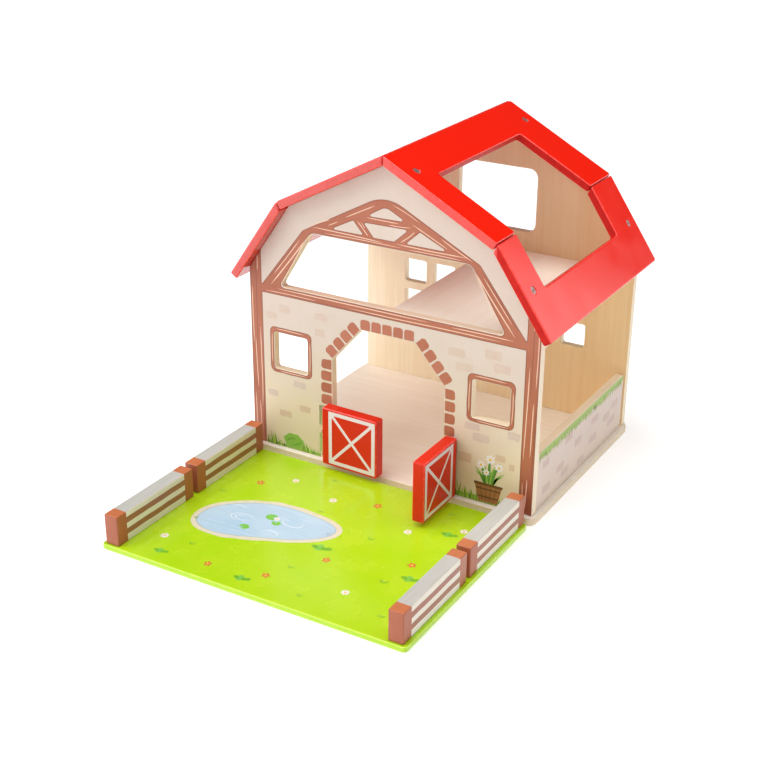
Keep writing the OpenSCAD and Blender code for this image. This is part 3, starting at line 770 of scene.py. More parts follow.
def mat_fence(name, y0, y1):
    """painted rail: brown post ends, pale top, two brown stripes along each side"""
    t = Tree(name)
    px, py, pz = t.xyz(t.P)
    yc = (y0 + y1) / 2
    half = (y1 - y0) / 2
    warp = t.noise(t.scaled(t.P, (1 / 0.02,) * 3), 1.0, 2.0, 0.5)
    wob = t.remap(warp, 0.3, 0.7, -0.00025, 0.00025)
    end = t.math("SUBTRACT", t.math("ABSOLUTE", t.math("SUBTRACT", py, yc)), half - 0.0125)
    post = t.remap(t.math("ADD", end, wob), -0.0001, 0.0001)
    topm = t.remap(t.xyz(t.Nrm)[2], 0.70, 0.85)
    z = t.math("ADD", pz, wob)

    def band(a, b):
        lo = t.remap(z, a - 0.0001, a + 0.0001)
        hi = t.remap(z, b - 0.0001, b + 0.0001, 1.0, 0.0)
        return t.math("MULTIPLY", lo, hi)

    stripes = t.math("ADD", band(0.0120, 0.0174), band(0.0226, 0.0282), clamp=True)
    g = t.noise(t.scaled(t.P, grain_scales("y", 0.0012, 0.03)), 1.0, 2.0, 0.6)
    gz = t.noise(t.scaled(t.P, grain_scales("z", 0.0012, 0.02)), 1.0, 2.0, 0.6)
    mott = t.noise(t.scaled(t.P, (1 / 0.015,) * 3), 1.0, 3.0, 0.6)
    cream = t.mix(t.remap(mott, 0.3, 0.7, 0.0, 0.5), rgb(236, 228, 214), rgb(226, 215, 196))
    white = t.mix(t.remap(g, 0.3, 0.7, 0.0, 0.8), rgb(196, 195, 189), rgb(183, 181, 172))
    brown = t.mix(t.remap(g, 0.35, 0.7, 0.0, 0.6), rgb(164, 100, 74), rgb(146, 84, 58))
    postc = t.mix(t.remap(gz, 0.35, 0.75, 0.0, 0.55), rgb(176, 95, 62), rgb(154, 78, 46))
    posttop = t.mix(t.remap(mott, 0.35, 0.75, 0.0, 0.55), rgb(200, 116, 72), rgb(184, 100, 58))
    side = t.mix(stripes, cream, brown)
    rail = t.mix(topm, side, white)
    col = t.mix(post, rail, t.mix(topm, postc, posttop))
    return t.done(col, t.remap(mott, 0.3, 0.7, 0.34, 0.46), t.bump(g, 0.00003, 0.5), coat=0.15, coat_rough=0.2)


for n in ("fence_left_front", "fence_left_rear", "fence_right_front", "fence_right_rear"):
    lo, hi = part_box(n)
    cx_, cy_ = (lo.x + hi.x) * 500, (lo.y + hi.y) * 500
    board(n + "_block", n, place((0, 0, hi.z * 1000), (1, 0, 0), (0, 1, 0), (0, 0, 1)), "yard",
          [mat_fence(n + "_paint", lo.y, hi.y)], (hi.z - lo.z) * 1000, 1.0, rrect(cx_, cy_, 14, 105, 1.3, 5))

# ---------------------------------------------------------------- front wall print

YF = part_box("front_wall")[0].y * 1000.0
front = place((0, YF, 0), (1, 0, 0), (0, 0, 1), (0, -1, 0))
P = Print("front_print", front, "barn", "printed_wood")

# the timber's last colour is a painted shadow on the lower right post
timber = mat_print("timber", rgb(184, 108, 81), rgb(166, 90, 60), 0.75, 0.05, painted_shadow_col=rgb(138, 72, 46))
timber_dark = mat_print("timber_dark", rgb(146, 79, 57), None, 0.3)
streak = mat_print("streak", rgb(240, 200, 176), None, 0.2)
brick_a = mat_print("brick_a", rgb(184, 106, 80), rgb(172, 95, 69), 0.5, 0.006)
brick_b = mat_print("brick_b", rgb(178, 100, 73), rgb(165, 89, 63), 0.5, 0.006)
brick_c = mat_print("brick_c", rgb(189, 112, 86), rgb(176, 100, 73), 0.5, 0.006)
faint = mat_print("faint_brick", rgb(212, 185, 171), rgb(217, 196, 183), 0.6, 0.004)
faint2 = mat_print("faint_brick_warm", rgb(214, 182, 156), rgb(221, 195, 167), 0.6, 0.004)


def edge_z(x):
    # upper edge of the side parts of the wall
    return 245.4 - 1.4506 * (abs(x) - 110.1)


outer = fillet(
    [(-149.3, 8.7), (-149.3, edge_z(149.3) - 0.4), (-136.4, edge_z(136.4) - 0.4), (-136.4, 172.9),
     (-89.5, 233.3), (-3.0, 280.2), (89.5, 233.3),
     (136.2, 172.9), (136.2, edge_z(136.2) - 0.4), (149.3, edge_z(149.3) - 0.4), (149.3, 8.7),
     (136.4, 8.7), (136.0, 165.5), (-136.0, 165.5), (-135.8, 8.7)],
    [0, 0, 0, 0.6, 5, 36, 5, 0.6, 0, 0, 0, 0, 1.2, 1.2, 0], 10)
opening = fillet([(-117.2, 173.7), (-81.5, 232.6), (81.5, 232.6), (117.2, 173.7)], [3.5, 9.8, 9.8, 3.5], 6)
tri_l = fillet([(-59.2, 239.8), (-36.1, 251.6), (-25.4, 239.8)], [1.0, 1.2, 1.0], 3)
tri_r = fillet([(58.7, 239.3), (31.1, 252.0), (17.1, 239.3)], [1.0, 1.2, 1.0], 3)
trap = fillet([(-25.6, 251.5), (19.6, 252.0), (5.6, 239.3), (-15.0, 239.3)], [1.2, 1.2, 1.0, 1.0], 3)
apex = fillet([(-21.8, 258.0), (-3.1, 269.0), (17.2, 258.8)], [1.2, 9.0, 1.2], 8)
holes = [opening, tri_l, tri_r, trap, apex]
P.fill(timber, [outer] + holes, 0)
P.fill(timber_dark, [outer, offset(outer, -0.75)], 1)
for h in holes:
    P.fill(timber_dark, [offset(h, 0.7), h], 1)


def streaks(pr, mat, items, level=2):
    for pts, w in items:
        pr.fill(mat, ribbon(pts, w, True, 6), level)


streaks(P, streak, [
    # left post
    ([(-139.2, 130), (-138.9, 100), (-138.6, 70), (-139.2, 46)], 0.85),
    ([(-145.0, 118), (-144.4, 92), (-143.4, 66)], 0.8),
    ([(-147.2, 170), (-147.3, 140), (-146.6, 112)], 0.8),
    ([(-140.6, 201), (-140.9, 186)], 0.8),
    ([(-142.0, 52), (-141.2, 34), (-141.6, 20)], 0.7),
    ([(-146.6, 60), (-146.4, 36), (-146.0, 16)], 0.7),
    # right post
    ([(140.2, 150), (139.9, 120), (139.3, 92), (138.6, 62)], 0.85),
    ([(145.6, 118), (145.3, 92), (144.9, 66)], 0.85),
    ([(147.2, 196), (147.4, 166), (146.9, 132)], 0.8),
    ([(143.4, 44), (143.0, 28), (142.6, 14)], 0.8),
    ([(139.0, 40), (139.4, 26), (139.0, 12)], 0.6),
    ([(142.2, 196), (142.4, 184)], 0.7),
    # left brace
    ([(-125.4, 175.2), (-104.0, 202.0), (-83.0, 229.2)], 1.1),
    ([(-121.9, 186.2), (-107.5, 204.6), (-93.2, 223.2)], 0.75),
    ([(-113.4, 178.6), (-100.0, 201.4), (-86.0, 225.6)], 0.8),
    # right brace
    ([(82.8, 229.0), (103.0, 202.4), (124.6, 175.2)], 1.1),
    ([(93.0, 223.0), (107.0, 205.0), (121.6, 186.0)], 0.75),
    ([(84.5, 224.5), (98.0, 203.6), (108.0, 186.0)], 0.7),
    # loft beam
    ([(-118.0, 171.9), (-60.0, 171.7), (-8.0, 171.6), (40.0, 171.5)], 0.9),
    ([(-40.0, 168.0), (10.0, 167.9), (58.0, 168.4), (112.0, 168.2)], 0.8),
    ([(-132.0, 168.0), (-104.0, 168.4), (-76.0, 168.0)], 0.6),
    ([(64.0, 171.4), (96.0, 171.7), (124.0, 171.2)], 0.8),
    # chord of the truss
    ([(-78.0, 238.4), (-40.0, 237.6), (-6.0, 236.4)], 0.85),
    ([(-66.0, 234.6), (-30.0, 235.2), (12.0, 234.8)], 0.6),
    ([(8.0, 237.6), (40.0, 237.0), (76.0, 237.2)], 0.85),
    ([(20.0, 234.4), (50.0, 234.6), (72.0, 234.0)], 0.6),
    # upper timbers
    ([(-82.0, 238.4), (-72.0, 243.2), (-60.0, 248.6)], 0.8),
    ([(-44.0, 253.0), (-30.0, 260.2), (-14.0, 268.4)], 0.8),
    ([(-62.0, 242.6), (-52.0, 247.6)], 0.6),
    ([(24.0, 257.6), (40.0, 250.2), (58.0, 241.6)], 0.8),
    ([(52.0, 249.6), (66.0, 242.4), (82.0, 235.0)], 0.8),
    ([(4.0, 272.0), (18.0, 266.6), (30.0, 260.6)], 0.6),
    # collar
    ([(-22.0, 256.6), (-6.0, 256.4), (10.0, 256.2)], 0.75),
    ([(0.0, 253.4), (12.0, 253.6), (22.0, 254.4)], 0.6),
    # struts
    ([(-31.6, 251.6), (-26.0, 245.8), (-20.6, 239.6)], 0.75),
    ([(-28.0, 251.0), (-24.0, 246.6)], 0.5),
    ([(26.2, 251.6), (20.0, 245.6), (12.0, 239.6)], 0.75),
])
streaks(P, timber_dark, [
    ([(-142.8, 205), (-142.4, 160), (-142.9, 110)], 0.7),
    ([(-137.8, 60), (-137.9, 36), (-137.6, 12)], 0.7),
    ([(143.0, 205), (142.6, 160), (142.4, 122)], 0.7),
    ([(148.0, 120), (147.6, 80), (147.2, 40)], 0.8),
    ([(-110.0, 167.4), (-60.0, 166.9), (0.0, 167.0)], 0.5),
    ([(-128.0, 181.0), (-112.0, 201.0), (-97.0, 221.0)], 0.6),
    ([(128.0, 181.0), (112.0, 201.0), (97.0, 221.0)], 0.6),
], 2)

# window frames
for sx in (-1, 1):
    cx, cz, w, hh = sx * 104.9, 110.0, 46.6, 46.4
    o = wobble(rrect(cx, cz, w, hh, 5.5), 0.35, 11 + sx)
    i = rrect(sx * 105.0, 109.2, 38.3, 38.3, 3.0)
    P.fill(timber, [o, i], 0)
    P.fill(timber_dark, [o, offset(o, -0.75)], 1)
    P.fill(timber_dark, [offset(i, 0.6), i], 1)
    x0, x1, z0, z1 = cx - w / 2, cx + w / 2, cz - hh / 2, cz + hh / 2
    streaks(P, streak, [
        ([(x0 + 2.2, z0 + 9), (x0 + 1.9, z0 + 24), (x0 + 2.4, z1 - 7)], 0.7),
        ([(x1 - 2.2, z1 - 9), (x1 - 1.9, z0 + 22), (x1 - 2.4, z0 + 6)], 0.7),
        ([(x0 + 7, z1 - 1.9), (x0 + 22, z1 - 1.7), (x1 - 9, z1 - 2.2)], 0.7),
        ([(x0 + 10, z0 + 1.8), (x0 + 24, z0 + 1.6), (x1 - 6, z0 + 2.0)], 0.7),
    ])

# bricks round the doorway
rnd = random.Random(7)
bricks = []
for s, x_in, x_out in ((-1, 59.9, 71.4), (1, 59.9, 70.2)):
    z = 112.6
    for i in range(9):
        h = 9.9 if i else 10.0
        lo = max(z - h, 8.9)
        if z - lo < 2:
            break
        q = [(s * x_in, lo), (s * x_out, lo), (s * (x_out - (0.9 if i == 0 else 0.0)), z - (0.7 if i == 0 else 0)), (s * x_in, z)]
        bricks.append(fillet(q, [0.9, 2.6, 2.8, 0.9], 4))
        z -= 12.15
    # along the chamfer
    a, b = Vector((59.0, 113.5)), Vector((27.8, 149.4))
    d = (b - a)
    L = d.length
    d.normalize()
    nrm = Vector((d.y, -d.x))
    for i in range(4):
        u0 = L * i / 4 + 1.1
        u1 = L * (i + 1) / 4 - 1.0
        q = [a + d * u0 + nrm * 0.9, a + d * u1 + nrm * 0.9, a + d * (u1 + (0.2 if i < 3 else 0.6)) + nrm * 11.6, a + d * (u0 - (0.2 if i else 0.8)) + nrm * 11.6]
        q = [(s * p.x, p.y) for p in q]
        bricks.append(fillet(q, [0.9, 0.9, 3.2, 3.2], 5))
x = -28.3
for i in range(5):
    w = 9.9
    q = [(x, 150.2), (x + w, 150.2), (x + w + (0.3 if i == 4 else 0), 160.0), (x - (0.3 if i == 0 else 0), 160.0)]
    bricks.append(fillet(q, [0.8, 0.8, 2.4, 2.4], 4))
    x += 11.35
for i, q in enumerate(bricks):
    P.fill((brick_a, brick_b, brick_c)[rnd.randrange(3)], wobble(q, 0.22, 100 + i, 1.2), 0)

# faint bricks in the plaster
for i, (x0, z1, x1, z0) in enumerate([
        (61.8, 153.2, 78.0, 145.2), (97.4, 158.6, 113.2, 150.2), (69.6, 140.6, 86.2, 133.4),
        (106.4, 147.4, 122.6, 139.2), (80.4, 85.2, 95.0, 78.6), (88.6, 76.6, 105.0, 68.6),
        (122.6, 86.0, 134.6, 78.4), (75.0, 54.4, 88.2, 45.0), (125.6, 54.4, 131.0, 48.2),
        (-117.6, 156.6, -105.4, 149.2), (-78.0, 156.4, -64.2, 149.8), (-77.6, 140.8, -67.0, 133.6),
        (-132.0, 147.0, -120.4, 140.8), (-102.6, 82.0, -89.0, 75.4), (-131.8, 67.2, -120.6, 60.8),
        (-119.4, 48.0, -105.6, 41.4), (-96.0, 58.0, -84.0, 51.6), (112.0, 60.4, 121.6, 54.0)]):
    r = fillet([(x0, z0), (x1, z0), (x1, z1), (x0, z1)], 1.0, 3)
    P.fill(faint if z0 > 60 else faint2, wobble(r, 0.8, 200 + i, 1.5), 0)

# grass at the wall's foot
grass_mats = [mat_print("grass_%d" % i, c, None, 0.5, 0.006) for i, c in enumerate(
    [rgb(142, 184, 52), rgb(112, 160, 44), rgb(170, 204, 70)])]


def grass(pr, x0, x1, z0, base, seed, tall=None, level=0):
    r = random.Random(seed)
    xs = []
    x = x0
    while x < x1:
        xs.append(x)
        x += r.uniform(1.0, 1.9)
    xs.append(x1)
    top = [(x, z0 + base + r.uniform(-0.5, 0.7)) for x in xs]
    pr.fill(grass_mats[1], [(x0, z0)] + [(x1, z0)] + top[::-1], level)
    for k, step in ((0, 2.6), (2, 3.7), (1, 4.4)):
        x = x0 + 1.2
        while x < x1 - 1.2:
            hgt = base + r.uniform(1.2, 4.2) + (tall(x) if tall else 0.0)
            lean = r.uniform(-2.4, 2.4)
            w = r.uniform(0.7, 1.15)
            xt = max(x0 + 0.6, min(x1 - 0.6, x + lean))
            pts = [(x, z0 + 0.3), (x + lean * 0.25, z0 + hgt * 0.5), (xt, z0 + hgt)]
            q = smooth(pts, 4)
            nq = len(q)
            left = [(p.x - w * (1 - i / (nq - 1)) , p.y) for i, p in enumerate(q)]
            right = [(p.x + w * (1 - i / (nq - 1)), p.y) for i, p in enumerate(q)]
            pr.fill(grass_mats[k], left + right[::-1][1:], level + 1 + (k > 0))
            x += r.uniform(0.6, 1.4) * step


grass(P, 72.0, 135.2, 8.7, 5.2, 5, lambda x: max(0.0, 9.0 - abs(x - 76) * 0.8) + (2.0 if 84 < x < 128 else 0.0))
grass(P, -135.0, -73.0, 8.7, 2.6, 6, lambda x: max(0.0, 8.0 - abs(x + 128) * 0.7) + max(0.0, 6.0 - abs(x + 92) * 0.6))

# a plain tub of daisies by the door
tub = mat_print("tub", rgb(176, 112, 70), rgb(150, 92, 54), 0.6, 0.003)
tub_dark = mat_print("tub_dark", rgb(112, 70, 42), None, 0.4)
leaf_a = mat_print("leaf_a", rgb(96, 150, 56), rgb(70, 122, 44), 0.5, 0.004)
leaf_b = mat_print("leaf_b", rgb(140, 184, 76), None, 0.4, 0.004)
petal = mat_print("petal", rgb(244, 238, 240), rgb(232, 214, 222), 0.5, 0.002)
petal_red = mat_print("petal_red", rgb(222, 84, 66), rgb(204, 60, 48), 0.5, 0.002)
heart = mat_print("heart", rgb(244, 204, 72), None, 0.3)
cx = 106.0
for i, (dx, h, bend) in enumerate([(-13, 30, -3), (-9, 40, -2), (-4.5, 35, 1), (0.5, 45, 0.5), (5, 36, 2), (9.5, 42, 3), (14, 29, 4), (-11, 24, -6), (12, 24, 6)]):
    pts = [(cx + dx * 0.30, 27.0), (cx + dx * 0.62, 27 + h * 0.34), (cx + dx + bend * 0.4, 22 + h * 0.72)]
    q = smooth(pts, 6)
    nq = len(q)
    left = [(p.x - 1.5 * math.sin(math.pi * (0.08 + 0.92 * i2 / (nq - 1))), p.y) for i2, p in enumerate(q)]
    right = [(p.x + 1.5 * math.sin(math.pi * (0.08 + 0.92 * i2 / (nq - 1))), p.y) for i2, p in enumerate(q)]
    P.fill(leaf_a if i % 2 else leaf_b, left + right[::-1][1:], 3 + i % 2)
P.fill(tub, fillet([(cx - 9.6, 10.2), (cx + 9.6, 10.2), (cx + 13.4, 27.0), (cx - 13.4, 27.0)], [1.5, 1.5, 0.6, 0.6], 3), 5)
for zz, hw in ((14.2, 10.3), (22.2, 12.1)):
    P.fill(tub_dark, fillet([(cx - hw, zz), (cx + hw, zz), (cx + hw + 0.4, zz + 1.6), (cx - hw - 0.4, zz + 1.6)], 0.2, 2), 6)
P.fill(tub_dark, fillet([(cx - 14.2, 26.4), (cx + 14.2, 26.4), (cx + 14.4, 29.0), (cx - 14.4, 29.0)], 0.8, 3), 6)
for dx in (-6.4, -2.2, 2.2, 6.4):
    P.fill(tub_dark, ribbon([(cx + dx * 0.84, 10.6), (cx + dx * 1.25, 26.2)], 0.45, False), 6)


def daisy(pr, x, y, r, n, mat, rot, level):
    for i in range(n):
        a = rot + 2 * math.pi * i / n
        ux, uy = math.cos(a), math.sin(a)
        q = []
        for j in range(10):
            b = 2 * math.pi * j / 10
            px_, py_ = 0.62 * r + 0.42 * r * math.cos(b), 0.27 * r * math.sin(b)
            q.append((x + px_ * ux - py_ * uy, y + px_ * uy + py_ * ux))
        pr.fill(mat, q, level)
    pr.fill(heart, rrect(x, y, 0.62 * r, 0.62 * r, 0.30 * r, 4), level + 1)


for fx, fz, fr, rt in ((cx - 8.0, 46.5, 4.2, 0.2), (cx + 1.0, 53.5, 4.6, 0.6), (cx + 10.0, 47.5, 4.1, 0.1), (cx - 2.5, 40.0, 3.4, 0.4)):
    daisy(P, fx, fz, fr, 7, petal, rt, 6)

# low round bush by the left fence
bush = [(-104 + 11 * math.cos(a) * (1 + 0.10 * math.sin(5 * a)), 17 + 8.4 * math.sin(a) * (1 + 0.08 * math.cos(6 * a))) for a in [2 * math.pi * i / 40 for i in range(40)]]
P.fill(leaf_b, [(x, max(z, 9.0)) for x, z in bush], 3)
P.fill(leaf_a, ribbon([(-112, 16), (-107, 19.5), (-101, 20.0)], 0.9, True, 5), 4)
P.fill(leaf_a, ribbon([(-106, 12.4), (-100, 14.4), (-95.5, 17.6)], 0.9, True, 5), 4)
P.build()

# ---------------------------------------------------------------- half wall print

hw_lo, hw_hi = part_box("right_half_wall")
XH = hw_hi.x * 1000
half = place((XH, 0, 0), (0, 1, 0), (0, 0, 1), (1, 0, 0))
H = Print("half_wall_print", half, "barn", "printed_wood")
faint_h = mat_print("faint_brick_side", rgb(202, 173, 161), rgb(210, 187, 175), 0.6, 0.004)
fringe = mat_print("fringe", rgb(160, 188, 78), rgb(142, 174, 60), 0.7, 0.006)
fringe_d = mat_print("fringe_dark", rgb(120, 156, 54), None, 0.4, 0.006)
fringe_l = mat_print("fringe_light", rgb(184, 206, 104), None, 0.4, 0.006)
for i, (y0, z1, y1, z0) in enumerate([
        (-90.5, 53.5, -76.0, 46.0), (-57.5, 34.0, -41.0, 26.5), (-46.0, 25.0, -29.0, 17.5),
        (-40.5, 57.0, -24.0, 49.5), (-17.0, 44.0, -1.0, 36.5), (20.0, 31.0, 37.0, 23.5),
        (22.5, 50.0, 40.0, 42.5), (53.0, 40.5, 70.0, 33.0), (66.0, 31.0, 84.0, 23.5),
        (-87.5, 27.0, -71.0, 19.0), (-8.0, 19.5, 8.0, 13.0), (74.0, 46.0, 90.0, 39.0)]):
    H.fill(faint_h, wobble(fillet([(y0, z0), (y1, z0), (y1, z1), (y0, z1)], 1.0, 3), 0.7, 300 + i, 1.5), 0)
y0, y1 = hw_lo.y * 1000 + 1.2, hw_hi.y * 1000 - 1.2
ztop = hw_hi.z * 1000 - 1.0
r = random.Random(21)


def under(y, d):
    # keeps the fringe inside the wall's rounded upper corners
    e = min(y - (y0 - 1.2), (y1 + 1.2) - y)
    drop = 5.0 - math.sqrt(max(0.0, 25.0 - (5.0 - e) ** 2)) if e < 5.0 else 0.0
    return ztop - drop - d


ys = [y0 + (y1 - y0) * i / 150 for i in range(151)]
low = [(y, ztop - 5.0 + r.uniform(-0.6, 0.6) + 0.7 * math.sin(y * 0.33) + 0.6 * math.sin(y * 0.11)) for y in ys]
low[0] = (ys[0], ztop - 6.0)
low[-1] = (ys[-1], ztop - 6.0)
H.fill(fringe, low + [(y, under(y, 0.0)) for y in ys[::-1]], 1)
for mat, step, lvl in ((fringe, 2.3, 2), (fringe_d, 3.9, 3), (fringe_l, 4.6, 3)):
    y = y0 + 2.5
    while y < y1 - 2.5:
        d = r.uniform(1.5, 5.0) * r.uniform(0.7, 1.35)
        ln = r.uniform(-2.2, 2.2)
        w = r.uniform(0.6, 1.2)
        zt = ztop - 4.0
        H.fill(mat, [(y - w, zt), (y + ln * 0.4 - w * 0.6, zt - 1.3 - d * 0.5), (y + ln, zt - 1.6 - d), (y + ln * 0.4 + w * 0.6, zt - 1.3 - d * 0.5), (y + w, zt)], lvl)
        y += r.uniform(0.6, 1.5) * step
H.build()

# ---------------------------------------------------------------- doors

door_white = mat_print("door_white", rgb(240, 224, 232), rgb(234, 214, 224), 0.4, 0.01)


def door_print(name, node, body, axis_x, angle, side):
    """frame and cross on the front face; side is +1 for the right door, which lies towards -X when closed"""
    a = math.radians(angle) * side
    rot = Matrix.Rotation(a, 4, "Z")
    tr = Matrix.Translation(Vector((axis_x, -112.5, 0)) * MM)
    loc = place((0, -11.0, 0), (1, 0, 0), (0, 0, 1), (0, -1, 0))
    D = Print(name, tr @ rot @ loc, body, "red_paint")
    x0, x1 = (-62.7, -2.0) if side > 0 else (2.0, 62.7)
    z0, z1 = 10.0, 69.0
    l, r_, b, t_ = (x0 + 1.7, x1 - 7.6, z0 + 2.6, z1 - 2.2) if side > 0 else (x0 + 7.6, x1 - 1.7, z0 + 2.6, z1 - 2.2)
    w = 3.7
    o = fillet([(l, b), (r_, b), (r_, t_), (l, t_)], 0.5, 2)
    i = [(l + w, b + w), (r_ - w, b + w), (r_ - w, t_ - w), (l + w, t_ - w)]
    D.fill(door_white, [o, i], 0)
    # cross: two whole bars, the second one level above the first
    L_, R_, B_, T_ = l + w, r_ - w, b + w, t_ - w
    c = Vector(((L_ + R_) / 2, (B_ + T_) / 2))
    h = 2.9

    def bar(p, q, s0=0.0, s1=1.0):
        p, q = Vector(p), Vector(q)
        d = (q - p)
        n = Vector((-d.y, d.x)).normalized() * (h / 2)
        p2, q2 = p + d * s0, p + d * s1
        return [tuple(p2 - n), tuple(q2 - n), tuple(q2 + n), tuple(p2 + n)]

    p, q = Vector((L_ - 0.8, B_ - 0.8)), Vector((R_ + 0.8, T_ + 0.8))
    D.fill(door_white, bar(p, q), 1)
    p, q = Vector((L_ - 0.8, T_ + 0.8)), Vector((R_ + 0.8, B_ - 0.8))
    D.fill(door_white, bar(p, q), 2)
    D.build()


door_print("door_left_print", "door_left", "left_door", -64.5, 2.0, -1)
door_print("door_right_print", "door_right", "right_door", 64.5, 90.0, 1)

# ---------------------------------------------------------------- yard print

ylo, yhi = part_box("yard_board")
yard = place((0, 0, yhi.z * 1000), (1, 0, 0), (0, 1, 0), (0, 0, 1))
Y = Print("yard_print", yard, "yard", "green_paint")
water = mat_print("water", rgb(176, 206, 226), rgb(194, 218, 232), 0.7, 0.03, "x", 0.22)
sand = mat_print("sand", rgb(226, 220, 196), rgb(214, 204, 176), 0.6, 0.006, "x", 0.3)
ripple = mat_print("ripple", rgb(226, 238, 244), None, 0.2, 0.02, "x", 0.25)
pad = mat_print("pad", rgb(132, 204, 84), rgb(112, 188, 66), 0.6, 0.01, "x", 0.28)
tuft = mat_print("tuft", rgb(116, 186, 40), rgb(96, 166, 36), 0.5, 0.006, "x", 0.28)
tuft2 = mat_print("tuft_light", rgb(206, 232, 70), None, 0.3, 0.006, "x", 0.28)
shore = mat_print("shore", rgb(150, 176, 178), None, 0.3, 0.01, "x", 0.3)


def blob(cx, cy, a, b, rot, harm, n=96):
    out = []
    for i in range(n):
        t = 2 * math.pi * i / n
        k = 1.0 + sum(am * math.sin(fq * t + ph) for fq, am, ph in harm)
        x, y = a * k * math.cos(t), b * k * math.sin(t)
        c, s = math.cos(rot), math.sin(rot)
        out.append((cx + c * x - s * y, cy + s * x + c * y))
    return out


harm = [(2, 0.10, 0.7), (3, 0.07, 2.1), (5, 0.02, 0.4)]
pool = blob(-52, -236, 58, 31, 0.22, harm)
rim = wobble(offset(pool, 5.6), 0.9, 31, 2.0)
Y.fill(sand, rim, 0)
Y.fill(shore, offset(pool, 0.7), 1)
Y.fill(water, pool, 2)
for (rx, ry, ra, a0, a1) in ((-72, -240, 9, 0.3, 4.6), (-72, -240, 5.5, 1.2, 5.9), (-28, -226, 7.5, 2.6, 6.9), (-36, -250, 5.5, -0.6, 3.1), (-86, -226, 4.5, 0.0, 3.8)):
    pts = [(rx + ra * 1.35 * math.cos(a0 + (a1 - a0) * i / 12), ry + ra * 0.75 * math.sin(a0 + (a1 - a0) * i / 12)) for i in range(13)]
    Y.fill(ripple, ribbon(pts, 0.9, True), 3)
for (px_, py_, pr_, a0) in ((-50, -226, 6.2, 0.4), (-41, -233, 4.6, 2.2), (-62, -252, 5.0, 4.0)):
    pts = [(px_, py_)] + [(px_ + pr_ * math.cos(a0 + 0.35 + (2 * math.pi - 0.7) * i / 22), py_ + 0.8 * pr_ * math.sin(a0 + 0.35 + (2 * math.pi - 0.7) * i / 22)) for i in range(23)]
    Y.fill(pad, pts, 3)
daisy(Y, -44.5, -226.5, 3.0, 6, petal, 0.3, 4)


def tuft_at(pr, x, y, s, seed, mats=None):
    r = random.Random(seed)
    for i in range(5):
        ln = (i - 2) * 1.5 * s + r.uniform(-0.5, 0.5)
        hh = (4.6 - abs(i - 2) * 0.9) * s
        w = 0.55 * s
        pr.fill((mats or (tuft, tuft2))[0 if i != 2 else 1], [(x + i * 0.5 - 1 - w, y), (x + i * 0.5 - 1 + w, y), (x + ln * 0.6 + w * 0.5 + i * 0.3, y + hh * 0.55), (x + ln + i * 0.2, y + hh), (x + ln * 0.6 - w * 0.5 + i * 0.3, y + hh * 0.55)], 1 + i % 2)


flowers = [(20, -160, 4.2, petal_red), (66, -186, 3.8, petal), (96, -232, 4.0, petal_red), (30, -262, 3.8, petal_red),
           (70, -296, 3.8, petal), (-20, -172, 3.8, petal), (-96, -178, 4.0, petal_red), (-112, -300, 3.8, petal),
           (0, -308, 3.8, petal_red), (108, -160, 3.6, petal), (-70, -158, 3.4, petal), (-52, -318, 3.6, petal_red)]
for i, (x, y, s, m) in enumerate(flowers):
    daisy(Y, x, y, s, 5 if m is petal_red else 7, m, 0.5 * i, 1)
for i, (x, y, s) in enumerate([(44, -214, 1.2), (88, -268, 1.5), (10, -288, 1.0), (112, -312, 1.1), (-20, -196, 1.0), (-118, -210, 1.1),
                               (-108, -262, 0.9), (-84, -300, 1.1), (40, -320, 1.0), (84, -140, 1.0), (-40, -140, 1.0), (116, -196, 1.0), (8, -226, 0.9), (54, -142, 0.9)]):
    tuft_at(Y, x, y, s, 400 + i)
# clumps of clover
for i, (x, y, s) in enumerate([(104, -252, 1.0), (98, -172, 0.9), (14, -248, 1.1), (-100, -322, 0.8), (-16, -322, 0.9)]):
    for j, (dx, dy) in enumerate(((-4, 0), (0, 2.6), (4, 0), (0, -2.2), (7.6, 1.6))):
        Y.fill(pad if j % 2 else tuft, rrect(x + dx * s, y + dy * s, 5.4 * s, 4.4 * s, 2.1 * s, 5), 1 + j % 3)
Y.build()

# ---------------------------------------------------------------- stage

floor_tree = Tree("studio_floor")
fl_n = floor_tree.noise(floor_tree.scaled(floor_tree.P, (3, 3, 3)), 1.0, 2.0, 0.5)
floor_tree.sh.inputs["Emission Color"].default_value = (1, 1, 1, 1)
fx, fy, fz = floor_tree.xyz(floor_tree.P)
away = floor_tree.math("SQRT", floor_tree.math("ADD", floor_tree.math("MULTIPLY", fx, fx), floor_tree.math("MULTIPLY", fy, fy)))
floor_tree.link(floor_tree.remap(away, 0.7, 2.4, 0.36, 0.80, True), floor_tree.sh.inputs["Emission Strength"])
floor_mat = floor_tree.done(floor_tree.mix(floor_tree.remap(fl_n, 0.3, 0.7, 0.0, 1.0), (0.90, 0.905, 0.915, 1), (0.92, 0.92, 0.925, 1)), 0.7, spec=0.2)
me = bpy.data.meshes.new("studio_floor")
s = 6.0
me.from_pydata([(-s, -s, 0), (s, -s, 0), (s, s, 0), (-s, s, 0)], [], [(0, 1, 2, 3)])
me.materials.append(floor_mat)
floor = bpy.data.objects.new("studio_floor", me)
bpy.context.scene.collection.objects.link(floor)
floor.location.z = -0.0002

world = bpy.data.worlds.new("studio")
bpy.context.scene.world = world
world.use_nodes = True
wn = world.node_tree
wn.nodes.clear()
wo = wn.nodes.new("ShaderNodeOutputWorld")
bg = wn.nodes.new("ShaderNodeBackground")
tcw = wn.nodes.new("ShaderNodeTexCoord")
wn.links.new(bg.outputs[0], wo.inputs[0])


def wdot(axis):
    n = wn.nodes.new("ShaderNodeVectorMath")
    n.operation = "DOT_PRODUCT"
    wn.links.new(tcw.outputs["Generated"], n.inputs[0])
    n.inputs[1].default_value = axis
    return n.outputs["Value"]


